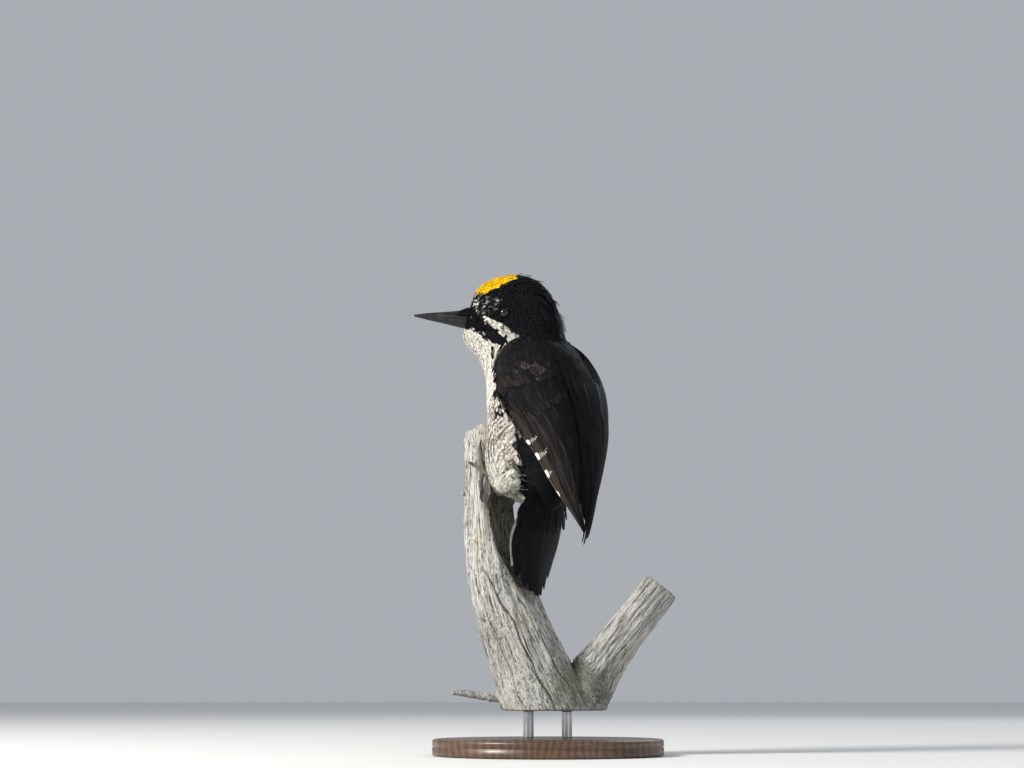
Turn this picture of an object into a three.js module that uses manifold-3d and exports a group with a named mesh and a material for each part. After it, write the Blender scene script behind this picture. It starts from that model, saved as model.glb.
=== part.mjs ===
// A male black-backed woodpecker, life size, clinging with its tail braced to the broken top of a
// weathered forked snag. The cut length of snag stands on two rods over a flat round display base.
//
// Millimetres, +Z up. The origin is the middle of the base's underside. The snag has a frame of its
// own, level with the fork, and the bird one within it: +X the way its belly faces, +Y its left.

import * as THREE from "three";
import { mergeVertices } from "three/addons/utils/BufferGeometryUtils.js";
import Module from "manifold-3d";

const wasm = await Module();
wasm.setup();

// ---------------------------------------------------------------- driving dimensions

const vec = (x, y, z) => new THREE.Vector3(x, y, z);

const GAP = 0.3; // between pieces that meet

const SNAG_AT = vec(0, 5, 33); // the snag's frame over the middle of the base's underside
const SNAG_FOOT = -8; // height of the snag's sawn foot in that frame
const BIRD_AT = vec(-0.7, -14.5, 0); // the bird's upright axis in the snag's frame
const BIRD_TURN = THREE.MathUtils.degToRad(143); // from +X to the way the belly faces
const HEAD_TURN = THREE.MathUtils.degToRad(32); // of the head from the body, to the bird's left

const BASE = { radius: 66, height: 9, bevel: 1.6 };
const ROD = { radius: 3, spacing: 22 };

const EYE = { forward: 23.4, height: 220.3, side: 11.3, radius: 3.9 };
const TAIL_FEATHERS = 10;

// ---------------------------------------------------------------- materials

const finish = (color, roughness, metalness = 0) =>
  new THREE.MeshStandardMaterial({ color, roughness, metalness });

const MATERIAL = {
  plumage: finish(0x17171a, 0.55),
  wing: finish(0x2a2523, 0.6),
  tail: finish(0x121214, 0.55),
  bill: finish(0x20242a, 0.35),
  eye: finish(0x120c0a, 0.08),
  leg: finish(0x3a3c40, 0.6),
  claw: finish(0x1c1c1e, 0.35),
  wood: finish(0x9a958c, 0.85),
  base: finish(0x3a2a20, 0.5),
  rod: finish(0x8c8f92, 0.3, 0.9),
};

// ---------------------------------------------------------------- shape helpers

/** A smooth value of each column of rows, at t from 0 on the first row to 1 on the last. */
function along(rows, t) {
  const last = rows.length - 1;
  const place = THREE.MathUtils.clamp(t, 0, 1) * last;
  const i = Math.min(Math.floor(place), last - 1);
  const f = place - i;
  const row = (k) => rows[THREE.MathUtils.clamp(k, 0, last)];
  return rows[i].map((b, k) => {
    const [a, c, d] = [row(i - 1)[k], row(i + 1)[k], row(i + 2)[k]];
    const [m, n] = [(c - a) / 2, (d - b) / 2];
    return (
      (2 * f ** 3 - 3 * f ** 2 + 1) * b +
      (f ** 3 - 2 * f ** 2 + f) * m +
      (3 * f ** 2 - 2 * f ** 3) * c +
      (f ** 3 - f ** 2) * n
    );
  });
}

/** An indexed geometry with positions only. */
function geometryOf(points, index) {
  return new THREE.BufferGeometry().setFromPoints(points).setIndex(index);
}

/** The geometry as a solid, turned so that its faces point out. */
function solid(geometry) {
  geometry.deleteAttribute("normal");
  geometry.deleteAttribute("uv");
  const merged = mergeVertices(geometry, 1e-4);
  const triVerts = new Uint32Array(merged.index.array);
  const build = () =>
    new wasm.Manifold(
      new wasm.Mesh({ numProp: 3, vertProperties: merged.attributes.position.array, triVerts }),
    );
  const made = build();
  if (made.volume() > 0) return made;
  for (let i = 0; i < triVerts.length; i += 3)
    [triVerts[i + 1], triVerts[i + 2]] = [triVerts[i + 2], triVerts[i + 1]];
  return build();
}

/** A closed skin over rings of points, with the first and last ring closed flat. */
function lofted(rings) {
  const n = rings[0].length;
  const middle = (ring) =>
    ring.reduce((sum, p) => sum.add(p), vec(0, 0, 0)).divideScalar(n);
  const points = [middle(rings[0]), ...rings.flat(), middle(rings.at(-1))];
  const at = (i, j) => 1 + i * n + (j % n);
  const index = [];
  for (let j = 0; j < n; j++) {
    index.push(0, at(0, j + 1), at(0, j));
    index.push(points.length - 1, at(rings.length - 1, j), at(rings.length - 1, j + 1));
    for (let i = 0; i < rings.length - 1; i++) {
      index.push(at(i, j), at(i, j + 1), at(i + 1, j));
      index.push(at(i, j + 1), at(i + 1, j + 1), at(i + 1, j));
    }
  }
  return solid(geometryOf(points, index));
}

/** A closed plate: surface(u, v) is its near face, and thick(u, v) its thickness away from it. */
function plate(surface, thick, columns, rows, swell = 0) {
  const step = 1e-3;
  const near = [];
  const far = [];
  for (let i = 0; i <= rows; i++)
    for (let j = 0; j <= columns; j++) {
      const [u, v] = [j / columns, i / rows];
      const p = surface(u, v);
      const across = surface(Math.min(u + step, 1), v).sub(surface(Math.max(u - step, 0), v));
      const down = surface(u, Math.min(v + step, 1)).sub(surface(u, Math.max(v - step, 0)));
      const away = across.cross(down).normalize();
      near.push(p.clone().addScaledVector(away, -swell));
      far.push(p.clone().addScaledVector(away, thick(u, v) + swell));
    }
  const n = columns + 1;
  const count = near.length;
  const index = [];
  const quad = (a, b, c, d) => index.push(a, b, c, a, c, d);
  for (let i = 0; i < rows; i++)
    for (let j = 0; j < columns; j++) {
      const a = i * n + j;
      quad(a, a + 1, a + n + 1, a + n);
      quad(count + a, count + a + n, count + a + n + 1, count + a + 1);
    }
  for (let j = 0; j < columns; j++) {
    const b = rows * n + j;
    quad(j, count + j, count + j + 1, j + 1);
    quad(b, b + 1, count + b + 1, count + b);
  }
  for (let i = 0; i < rows; i++) {
    const a = i * n;
    const b = a + columns;
    quad(a, a + n, count + a + n, count + a);
    quad(b, count + b, count + b + n, b + n);
  }
  return solid(geometryOf([...near, ...far], index));
}

/** A round limb along points, with a radius for each. */
function limb(path, radii, steps, sides = 8) {
  const curve = new THREE.CatmullRomCurve3(path);
  const frames = curve.computeFrenetFrames(steps, false);
  const rings = [];
  for (let i = 0; i <= steps; i++) {
    const centre = curve.getPoint(i / steps);
    const [radius] = along(radii.map((r) => [r]), i / steps);
    const ring = [];
    for (let j = 0; j < sides; j++) {
      const turn = (2 * Math.PI * j) / sides;
      ring.push(
        centre
          .clone()
          .addScaledVector(frames.normals[i], radius * Math.cos(turn))
          .addScaledVector(frames.binormals[i], radius * Math.sin(turn)),
      );
    }
    rings.push(ring);
  }
  return lofted(rings);
}

const mirrored = (made) => made.mirror([0, 1, 0]);

/** A named mesh from a solid. */
function piece(name, made, material) {
  const { numProp, vertProperties, triVerts } = made.getMesh();
  const points = [];
  for (let i = 0; i < vertProperties.length; i += numProp)
    points.push(vec(...vertProperties.subarray(i, i + 3)));
  const mesh = new THREE.Mesh(geometryOf(points, [...triVerts]), material);
  mesh.name = name;
  return mesh;
}

// ---------------------------------------------------------------- flesh: head, neck and trunk

// Sections from the face to the root of the tail. Each is the ventral point and the dorsal point
// of the profile (forward, height), the half width, how far the widest part lies towards the back
// (or, below 0, the belly) and the share of the head's turn that it takes.
const SECTIONS = [
  [49.0, 213.5, 47.0, 225.0, 2.8, 0, 1],
  [50.0, 209.0, 44.5, 231.0, 7.0, 0, 1],
  [47.4, 204.5, 39.5, 238.3, 10.4, -0.05, 1],
  [43.4, 200.0, 30.0, 244.0, 13.0, 0, 1],
  [39.6, 195.5, 17.0, 245.8, 14.4, 0.04, 1],
  [37.5, 190.5, 5.0, 242.0, 15.4, 0.06, 0.97],
  [35.8, 184.5, -3.3, 232.5, 16.4, 0.06, 0.86],
  [35.8, 178.5, -8.4, 220.0, 17.8, 0.04, 0.65],
  [37.0, 172.0, -12.0, 207.0, 20.4, 0, 0.36],
  [38.0, 164.0, -18.5, 194.5, 22.8, 0, 0.12],
  [38.6, 153.5, -23.0, 179.0, 24.0, 0, 0],
  [38.8, 142.0, -24.5, 161.0, 24.2, -0.04, 0],
  [38.0, 130.0, -24.0, 143.0, 23.2, -0.08, 0],
  [33.5, 121.0, -19.5, 126.0, 20.5, -0.1, 0],
  [24.0, 116.0, -13.5, 114.0, 15.5, 0, 0],
  [13.0, 111.0, -7.0, 106.0, 9.5, 0, 0],
];
const NECK_AXIS = 2; // forward place of the upright axis that the head turns about
const HEAD_CUT = 6.6; // section numbers, counted with fractions, of the cuts beside the neck
const NECK_CUT = 8.6;

/** The point at a turn round the flesh's section t, grown outwards by swell. */
function fleshPoint(t, turn, swell = 0) {
  const [ventralX, ventralZ, dorsalX, dorsalZ, half, skew, share] = along(SECTIONS, t);
  const [reachX, reachZ] = [(dorsalX - ventralX) / 2, (dorsalZ - ventralZ) / 2];
  const reach = Math.hypot(reachX, reachZ);
  const grown = (reach + swell) / reach;
  const back = Math.cos(turn);
  const side = (half + swell) * Math.sin(turn) * (1 + skew * back * 2);
  const forward = (ventralX + dorsalX) / 2 + reachX * grown * back - NECK_AXIS;
  const yaw = HEAD_TURN * share;
  return vec(
    NECK_AXIS + forward * Math.cos(yaw) - side * Math.sin(yaw),
    forward * Math.sin(yaw) + side * Math.cos(yaw),
    (ventralZ + dorsalZ) / 2 + reachZ * grown * back,
  );
}

function fleshSolid(swell = 0, steps = 26, sides = 20) {
  const rings = [];
  for (let i = 0; i <= steps; i++) {
    const ring = [];
    for (let j = 0; j < sides; j++)
      ring.push(fleshPoint(i / steps, (2 * Math.PI * j) / sides, swell));
    rings.push(ring);
  }
  return lofted(rings);
}

/** The plane of a section: its unit normal, which points towards the tail, and its offset. */
function sectionPlane(number) {
  const t = number / (SECTIONS.length - 1);
  const [back, belly, left, right] = [0, Math.PI, Math.PI / 2, -Math.PI / 2].map((turn) =>
    fleshPoint(t, turn),
  );
  const normal = back.clone().sub(belly).cross(left.clone().sub(right)).normalize();
  const middle = back.add(belly).multiplyScalar(0.5);
  const ahead = fleshPoint(Math.min(t + 0.05, 1), 0).add(fleshPoint(Math.min(t + 0.05, 1), Math.PI));
  if (ahead.multiplyScalar(0.5).sub(middle).dot(normal) < 0) normal.negate();
  return { normal, offset: normal.dot(middle) };
}

const beyond = (made, { normal, offset }) =>
  made.trimByPlane(normal.toArray(), offset + GAP / 2);
const before = (made, { normal, offset }) =>
  made.trimByPlane(normal.clone().negate().toArray(), -offset + GAP / 2);

/** A point of the head's own upright plane, turned with the head. */
function headPoint(forward, side, height) {
  const point = vec(forward - NECK_AXIS, side, height);
  point.applyAxisAngle(vec(0, 0, 1), HEAD_TURN);
  return point.add(vec(NECK_AXIS, 0, 0));
}

// ---------------------------------------------------------------- bill and eyes

// Along the bill from its root: forward, height of the line between the mandibles, height of the
// ridge over it, depth of the keel under it and half width.
const BILL_SECTIONS = [
  [34.0, 216.0, 7.5, 4.5, 5.6],
  [44.0, 218.4, 6.9, 4.8, 5.0],
  [53.5, 219.8, 4.6, 4.0, 4.1],
  [62.0, 220.9, 3.2, 2.9, 3.1],
  [70.5, 221.8, 1.9, 1.7, 2.0],
  [78.6, 222.6, 0.5, 0.5, 0.6],
];
const BILL_ROUNDING = 0.85; // below 1 the sides stand steeper than an ellipse's

/** One mandible: over is 1 for the upper and -1 for the lower. */
function mandible(over, swell = 0) {
  const [steps, arcs] = [10, 8];
  const rings = [];
  for (let i = 0; i <= steps; i++) {
    const [onward, line, ridge, keel, half] = along(BILL_SECTIONS, i / steps);
    const forward = onward - (i === 0 ? swell : 0);
    const rise = (over > 0 ? ridge : keel) + 2 * swell;
    const ring = [];
    for (let j = 0; j <= arcs; j++) {
      const turn = (Math.PI * j) / arcs;
      const side = (half + swell) * Math.cos(turn);
      const height = rise * Math.sin(turn) ** BILL_ROUNDING;
      ring.push(headPoint(forward, side, line + over * (GAP / 2 - swell + height)));
    }
    rings.push(ring);
  }
  return lofted(rings);
}

function ball(radius, centre, segments = 16) {
  const geometry = new THREE.SphereGeometry(radius, segments, segments / 2);
  return solid(geometry.translate(centre.x, centre.y, centre.z));
}

// ---------------------------------------------------------------- wings

// The folded left wing lies between two edges: the one along the spine, and the one that runs
// from the bend of the wing down the flank to the tip. Each row is x, y, z.
const WING_BACK = [
  [-8.0, 5.0, 203],
  [-19.0, 4.5, 193],
  [-28.0, 4.0, 176],
  [-31.5, 3.5, 155],
  [-32.0, 3.0, 135],
  [-30.5, 2.5, 112],
  [-28.0, 2.0, 90],
];
const WING_FRONT = [
  [17.0, 17.5, 202],
  [17.0, 23.0, 187],
  [10.2, 27.0, 169],
  [-1.5, 28.3, 152],
  [-12.5, 25.6, 135.5],
  [-20.0, 17.0, 113],
  [-27.3, 3.6, 91.5],
];
const WING_BULGE = [[3.4], [7.8], [9.2], [7.4], [4.4], [2], [0.3]];
const WING_THICK = [[6], [9], [8.5], [6.5], [3.6], [1.9], [0.9]];
const WING_DROOP = { left: 0, right: 6 }; // of the tip, below the rows above
const WING_EDGE = 0.8; // thickness along both edges
const WING_BELLY = 0.7; // below 1 the thickness swells soon after the edges

function wingPoint(u, v, droop = 0) {
  const lowered = vec(0, 0, -droop * v ** 2);
  const back = vec(...along(WING_BACK, v)).add(lowered);
  const front = vec(...along(WING_FRONT, v)).add(lowered);
  const chord = front.clone().sub(back);
  const outwards = vec(-chord.y, chord.x, 0).normalize();
  const [bulge] = along(WING_BULGE, v);
  return back.addScaledVector(chord, u).addScaledVector(outwards, bulge * 4 * u * (1 - u));
}

function wingThickness(u, v) {
  const [thick] = along(WING_THICK, v);
  return WING_EDGE + (thick - WING_EDGE) * Math.sin(Math.PI * u) ** WING_BELLY;
}

// ---------------------------------------------------------------- tail

// The middle line of the folded tail from its root, with its half width and the depth of its roof.
const TAIL_LINE = [
  [-5.0, 120, 13.0, 3.0],
  [-1.5, 104, 21.5, 4.0],
  [3.5, 88, 24.5, 4.5],
  [6.5, 72, 22.0, 5.0],
  [7.2, 55.8, 16.0, 5.0],
];
const TAIL_THICK = 1.1;
const TAIL_TIPS = { rounding: 0.27, power: 1.5, notch: 0.04 }; // shares of the tail's length

function tailPoint(u, v) {
  const across = 2 * u - 1;
  const feather = Math.abs(across) * (TAIL_FEATHERS / 2);
  const notch = Math.abs((feather % 1) - 0.5) * 2; // 0 on a feather's shaft, 1 between two
  const rounded = TAIL_TIPS.rounding * Math.abs(across) ** TAIL_TIPS.power;
  const reach = 1 - rounded - TAIL_TIPS.notch * notch;
  const [x, z, half, roof] = along(TAIL_LINE, v * reach);
  return vec(x + roof * across ** 2, across * half, z);
}

// ---------------------------------------------------------------- legs

const ANKLE = vec(17, 17.5, 120.5); // in the bird's frame
const KNEE = vec(6, 17, 130);
const FOOT = { turn: 60, height: 129.5, lift: 3.0 };
const THIGH = { radii: [8, 7.4, 2.6], reach: 0.45 }; // reach: share of the way down the shank
const SHANK = { radii: [1.5, 1.4], heel: 1.7 };
const TOE_RADII = [1.3, 1.25, 1.0];
const CLAW_RADII = [0.85, 0.7, 0.3];
const CLAW_ROOT = 0.08; // how far back from the toe's end its claw starts
// Each toe's knuckles on the wood: degrees round from the side that faces the bird, height and
// lift off the surface. The last two of each are the bend and the tip of its claw.
const TOES = {
  inner: [[64, 136, 2.0], [63, 142.5, 1.35], [62, 147, 2.0], [61, 149.6, 0.4]],
  outer: [[69, 131.8, 2.0], [83, 134, 1.35], [94, 135.8, 2.0], [102, 136.2, 0.4]],
  hind: [[68, 122.5, 1.9], [69, 117, 1.35], [70, 113, 2.0], [71, 111.2, 0.4]],
};

// ---------------------------------------------------------------- snag

// The stem's middle in the snag's frame, with its half width across the view: x, y, z, half.
const STEM = [
  [5.0, -2.0, -22, 27.5],
  [1.5, -2.0, -8, 28.3],
  [-9.0, -4.0, 15, 23.6],
  [-18.2, -6.0, 37.6, 21.2],
  [-26.0, -7.0, 60.5, 18.8],
  [-31.0, -2.5, 87, 16.0],
  [-33.4, 5.0, 113, 14.6],
  [-36.0, 12.3, 137, 12.4],
  [-38.6, 15.6, 158.0, 9.6],
];
const STEM_DEPTH = 0.94; // of the stem's depth to its width
const ARM = {
  path: [vec(12, -1, -22), vec(23, 0, 4), vec(36.5, 0, 26), vec(48, -1, 40), vec(66, -2, 63)],
  radii: [15, 14, 11.8, 11.2, 10.8],
};
const HOLLOW = {
  path: [
    vec(-1, -28, 52),
    vec(-8.4, -20.9, 65),
    vec(-17.1, -13, 84.4),
    vec(-23.4, -3.0, 110),
    vec(-26.5, 1.5, 125),
  ],
  radii: [6, 10, 13, 12.8, 7],
};
const SPLINTERS = [[2, 2.0, -2.27], [7, 1.2, 1]]; // waves round the torn top: number, height, start
const TWIGS = [
  { path: [vec(-24, -2, -2.2), vec(-42, -3, 0.8), vec(-55.1, -4, 2.3)], radii: [2.3, 1.8, 1.4] },
  { path: [vec(-45, 4, 116.5), vec(-48.5, 4, 117.4), vec(-51.1, 4, 118)], radii: [1.2, 1.0, 0.8] },
];

/** Flutes and swellings that run up weathered wood, as a share of its radius. */
const fluting = (turn, height) =>
  0.035 * Math.sin(5 * turn + height / 23) +
  0.025 * Math.sin(9 * turn - height / 17) +
  0.02 * Math.sin(2 * turn + height / 11);

/** The point of the stem's surface at a turn and share of its length, lifted off it by lift. */
function stemPoint(turn, t, lift = 0) {
  const [x, y, z, half] = along(STEM, t);
  const r = half * (1 + fluting(turn, z)) + lift;
  return vec(x + r * Math.cos(turn), y + STEM_DEPTH * r * Math.sin(turn), z);
}

/** The share of the stem's length at a height. */
function stemShare(height) {
  let [low, high] = [0, 1];
  for (let k = 0; k < 30; k++) {
    const mid = (low + high) / 2;
    if (along(STEM, mid)[2] < height) low = mid;
    else high = mid;
  }
  return low;
}

function stemSolid(steps = 17, sides = 20) {
  const rings = [];
  for (let i = 0; i <= steps; i++) {
    const ring = [];
    for (let j = 0; j < sides; j++) {
      const turn = (2 * Math.PI * j) / sides;
      const point = stemPoint(turn, i / steps);
      if (i === steps)
        for (const [waves, height, start] of SPLINTERS)
          point.z += height * Math.sin(waves * turn + start);
      ring.push(point);
    }
    rings.push(ring);
  }
  return lofted(rings);
}

/** The snag, with room left for the solids that rest against it. */
function snagSolid(...rooms) {
  const wood = [stemSolid(), limb(ARM.path, ARM.radii, 8, 14)];
  for (const { path, radii } of TWIGS) wood.push(limb(path, radii, 3, 7));
  const whole = wood.reduce((sum, made) => sum.add(made));
  const hollow = limb(HOLLOW.path, HOLLOW.radii, 8, 13);
  const cut = [hollow, ...rooms].reduce((left, made) => left.subtract(made), whole);
  return cut.trimByPlane([0, 0, 1], SNAG_FOOT);
}

// ---------------------------------------------------------------- assembly

/** A solid of the bird's frame moved to the snag's frame. */
const onSnag = (made) =>
  made.rotate([0, 0, THREE.MathUtils.radToDeg(BIRD_TURN)]).translate(BIRD_AT.toArray());

/** A point of the bird's frame in the snag's frame. */
const pointOnSnag = (point) => point.clone().applyAxisAngle(vec(0, 0, 1), BIRD_TURN).add(BIRD_AT);

function headAndBody(flesh) {
  const headPlane = sectionPlane(HEAD_CUT);
  const neckPlane = sectionPlane(NECK_CUT);
  const eyeball = (side, swell) =>
    ball(EYE.radius + swell, headPoint(EYE.forward, side * EYE.side, EYE.height));
  const head = before(flesh, headPlane)
    .subtract(mandible(1, GAP))
    .subtract(mandible(-1, GAP))
    .subtract(eyeball(1, GAP))
    .subtract(eyeball(-1, GAP));
  return [
    ["head", head, MATERIAL.plumage],
    ["neck", before(beyond(flesh, headPlane), neckPlane), MATERIAL.plumage],
    ["trunk", beyond(flesh, neckPlane), MATERIAL.plumage],
    ["bill_upper", mandible(1), MATERIAL.bill],
    ["bill_lower", mandible(-1), MATERIAL.bill],
    ["eye_left", eyeball(1, 0), MATERIAL.eye],
    ["eye_right", eyeball(-1, 0), MATERIAL.eye],
  ];
}

/** A point of the bird's left side, or its mirror image, in the snag's frame. */
const sidePoint = (side, { x, y, z }) => pointOnSnag(vec(x, side * y, z));

/** The point of the wood under one foot that a knuckle's turn, height and lift name. */
function woodPoint(side, [degrees, height, lift]) {
  const turn = BIRD_TURN + Math.PI - side * THREE.MathUtils.degToRad(degrees);
  return stemPoint(turn, stemShare(height), lift);
}

const footPoint = (side) => woodPoint(side, [FOOT.turn, FOOT.height, FOOT.lift]);

/** The bare shank from the ankle to the foot, in the snag's frame. */
function shankSolid(side, swell = 0) {
  const [ankle, foot] = [sidePoint(side, ANKLE), footPoint(side)];
  const radii = SHANK.radii.map((r) => r + swell);
  return limb([ankle, foot], radii, 4).add(ball(SHANK.heel + swell, foot, 10));
}

/** One leg's pieces in the snag's frame; side is 1 for the left and -1 for the right. */
function legPieces(side, room) {
  const name = side > 0 ? "left" : "right";
  const [knee, ankle, foot] = [sidePoint(side, KNEE), sidePoint(side, ANKLE), footPoint(side)];
  let taken = shankSolid(side, GAP);
  const thigh = limb([knee, ankle, ankle.clone().lerp(foot, THIGH.reach)], THIGH.radii, 6, 12);
  const pieces = [
    [`thigh_${name}`, thigh.subtract(room).subtract(taken), MATERIAL.plumage],
    [`tarsus_${name}`, shankSolid(side), MATERIAL.leg],
  ];
  for (const [toe, knuckles] of Object.entries(TOES)) {
    const [first, second, bend, tip] = knuckles.map((row) => woodPoint(side, row));
    const finger = (swell) =>
      limb([foot, first, second], TOE_RADII.map((r) => r + swell), 5, 7);
    const root = second.clone().lerp(first, CLAW_ROOT);
    const claw = limb([root, bend, tip], CLAW_RADII, 5, 6).subtract(finger(GAP));
    pieces.push([`toe_${toe}_${name}`, finger(0).subtract(taken), MATERIAL.leg]);
    pieces.push([`claw_${toe}_${name}`, claw, MATERIAL.claw]);
    taken = taken.add(finger(GAP));
  }
  return pieces;
}

function snagGroup() {
  const group = new THREE.Group();
  const flesh = fleshSolid();
  const room = fleshSolid(GAP);
  const roomOnSnag = onSnag(room);
  const wing = (droop) => plate((u, v) => wingPoint(u, v, droop), wingThickness, 9, 16);
  const tail = (swell) => plate(tailPoint, () => TAIL_THICK, 2 * TAIL_FEATHERS, 8, swell);
  const shanks = [1, -1].map((side) => shankSolid(side, GAP));
  const bird = [
    ...headAndBody(flesh),
    ["wing_left", wing(WING_DROOP.left).subtract(room), MATERIAL.wing],
    ["wing_right", mirrored(wing(WING_DROOP.right)).subtract(room), MATERIAL.wing],
    ["tail", tail(0).subtract(room), MATERIAL.tail],
  ].map(([name, made, material]) => [name, onSnag(made), material]);
  const trunk = bird.find(([name]) => name === "trunk");
  trunk[1] = shanks.reduce((left, shank) => left.subtract(shank), trunk[1]);
  const legs = [...legPieces(1, roomOnSnag), ...legPieces(-1, roomOnSnag)];
  const snag = snagSolid(roomOnSnag, onSnag(tail(GAP)));
  for (const row of [...bird, ...legs, ["perch_snag", snag, MATERIAL.wood]])
    group.add(piece(...row));
  group.position.copy(SNAG_AT);
  return group;
}

function standPieces() {
  const { radius, height, bevel } = BASE;
  const outline = [
    [0, 0],
    [radius, 0],
    [radius, height - bevel],
    [radius - bevel, height],
    [0, height],
  ].map(([x, y]) => new THREE.Vector2(x, y));
  const base = new THREE.LatheGeometry(outline, 48).rotateX(Math.PI / 2);
  const rods = [-1, 1].map((side) => {
    const length = SNAG_AT.z + SNAG_FOOT - height - 2 * GAP;
    const rod = new THREE.CylinderGeometry(ROD.radius, ROD.radius, length, 20).rotateX(Math.PI / 2);
    rod.translate(SNAG_AT.x + (side * ROD.spacing) / 2, SNAG_AT.y, height + GAP + length / 2);
    return piece(`stand_rod_${side < 0 ? "left" : "right"}`, solid(rod), MATERIAL.rod);
  });
  return [piece("stand_base", solid(base), MATERIAL.base), ...rods];
}

const model = new THREE.Group();
model.add(snagGroup(), ...standPieces());

export default model;
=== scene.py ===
"""Looks of a life-size still model of a male black-backed woodpecker clinging to a dead snag.

Shapes are worked out in millimetres. The bird has a frame of its own, +X the way its belly faces
and +Y its left, which stands turned in the snag's frame, and that one stands on the display base.
"""

import logging
import math
from dataclasses import dataclass, field, replace
from enum import Enum
from typing import Any, Callable, Mapping, Sequence

import bpy
import numpy as np
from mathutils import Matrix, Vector
from mathutils.bvhtree import BVHTree
from mathutils.kdtree import KDTree


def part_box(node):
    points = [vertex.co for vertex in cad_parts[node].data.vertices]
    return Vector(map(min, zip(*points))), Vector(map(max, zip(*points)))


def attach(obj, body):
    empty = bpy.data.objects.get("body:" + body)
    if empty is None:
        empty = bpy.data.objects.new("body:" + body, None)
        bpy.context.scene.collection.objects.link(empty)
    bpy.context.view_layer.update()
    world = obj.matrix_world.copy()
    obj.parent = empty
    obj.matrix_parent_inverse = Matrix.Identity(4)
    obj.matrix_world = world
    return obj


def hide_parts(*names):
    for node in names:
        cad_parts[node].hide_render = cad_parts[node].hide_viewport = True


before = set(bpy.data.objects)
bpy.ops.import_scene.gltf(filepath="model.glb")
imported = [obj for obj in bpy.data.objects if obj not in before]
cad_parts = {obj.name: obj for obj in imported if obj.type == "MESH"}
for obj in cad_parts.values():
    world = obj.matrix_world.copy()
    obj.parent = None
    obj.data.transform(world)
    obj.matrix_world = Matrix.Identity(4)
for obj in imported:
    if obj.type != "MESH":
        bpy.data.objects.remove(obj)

log = logging.getLogger("woodpecker")

Array = np.ndarray
Random = np.random.Generator
Material = bpy.types.Material
Colour = Triple = tuple[float, float, float]
Pair = tuple[float, float]
Many = tuple[float, ...]

MM = 0.001  # metres in a millimetre
SEED = 417
UP = np.array([0.0, 0.0, 1.0])
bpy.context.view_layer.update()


# --- numbers and curves


def table(*rows: Sequence[float]) -> Any:
    """A field of a dataclass that holds the rows."""
    return field(default_factory=lambda: np.array(rows, float))


def along(rows: Array, t: Any) -> Array:
    """Smooth values of the columns of rows.

    Args:
        rows: One row of values for each equal step.
        t: Places from 0 on the first row to 1 on the last.

    Returns:
        An array of t's shape with the columns added.
    """
    last = len(rows) - 1
    place = np.clip(np.asarray(t, float), 0, 1) * last
    i = np.minimum(place.astype(int), last - 1)
    f = (place - i)[..., None]
    a, b, c, d = (rows[np.clip(i + k, 0, last)] for k in (-1, 0, 1, 2))
    m, n = (c - a) / 2, (d - b) / 2
    return ((2 * f**3 - 3 * f**2 + 1) * b + (f**3 - 2 * f**2 + f) * m + (3 * f**2 - 2 * f**3) * c
        + (f**3 - f**2) * n)


def ease(low: float, high: float, x: Any) -> Array:
    """0 below low, 1 beyond high and smooth between; low may be the larger one."""
    f = np.clip((np.asarray(x, float) - low) / (high - low), 0, 1)
    return f * f * (3 - 2 * f)


def blend(a: Any, b: Any, share: Any) -> Array:
    """From a, at share 0, to b, at share 1."""
    return a + (b - a) * share


def unit(vectors: Array) -> Array:
    """The vectors at length 1."""
    return vectors / np.maximum(np.linalg.norm(vectors, axis=-1, keepdims=True), 1e-9)


def flat_on(vectors: Array, normals: Array) -> Array:
    """The vectors laid flat on the planes of the normals, at length 1."""
    return unit(vectors - normals * np.sum(vectors * normals, axis=-1, keepdims=True))


def circle(count: int) -> Array:
    """Angles evenly round a circle."""
    return np.linspace(0, 2 * math.pi, count, endpoint=False)


def box_of(node: str) -> tuple[Array, Array]:
    """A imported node's lowest and highest corners, in millimetres."""
    low, high = (np.array(corner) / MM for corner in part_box(node))
    return low, high


def fixed(points: Array) -> Array:
    """Points that are in the part's frame already."""
    return points


def marked(first: Any, second: Any = 0.0, third: Any = 0.0) -> Array:
    """The marks of feathers as the four numbers of a mesh colour."""
    return np.stack(np.broadcast_arrays(first, second, third, np.ones(np.shape(first))), -1)


def bare(count: int, reach: float = 4.0) -> dict[str, Array]:
    """The values of plain dark down, which has no vanes."""
    return {"vane": np.tile((0.3, 0.5, 0.5), (count, 1)), "reach": np.full(count, reach),
        "marks": marked(np.zeros(count)), "phase": np.zeros(count)}


def tree_of(points: Array) -> KDTree:
    """A tree that finds the nearest of points.

    Args:
        points: What it finds.

    Returns:
        The tree.
    """
    tree = KDTree(len(points))
    for i, point in enumerate(points.tolist()):
        tree.insert(point, i)
    tree.balance()
    return tree


def spun(points: Array, angle: Any, centre: Sequence[float] = (0, 0)) -> Array:
    """The points turned about an upright axis through centre, by an angle in radians."""
    x, y, c, s = points[..., 0] - centre[0], points[..., 1] - centre[1], np.cos(angle), np.sin(angle)
    return np.stack([centre[0] + x * c - y * s, centre[1] + x * s + y * c, points[..., 2]], -1)


def ripple(points: Array, size: float, seed: int, waves: int = 7) -> Array:
    """A smooth random field, about -1 to 1, made of a few waves each about size long.

    Args:
        points: Places, three numbers each.
        size: Length of the waves.
        seed: Seed of their directions.
        waves: How many there are.

    Returns:
        The field's value at each place.
    """
    rng = np.random.default_rng(seed)
    total = np.zeros(points.shape[:-1])
    for _ in range(waves):
        heading = unit(rng.normal(size=points.shape[-1]))
        length = size * rng.uniform(0.6, 1.7)
        total += np.sin(points @ heading * 2 * math.pi / length + rng.uniform(0, 2 * math.pi))
    return total / math.sqrt(waves)


@dataclass
class Sided:
    """One of a pair; side is 1 for the left and -1 for the right."""

    side: int

    @property
    def name(self) -> str:
        """left or right."""
        return "left" if self.side > 0 else "right"


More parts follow.
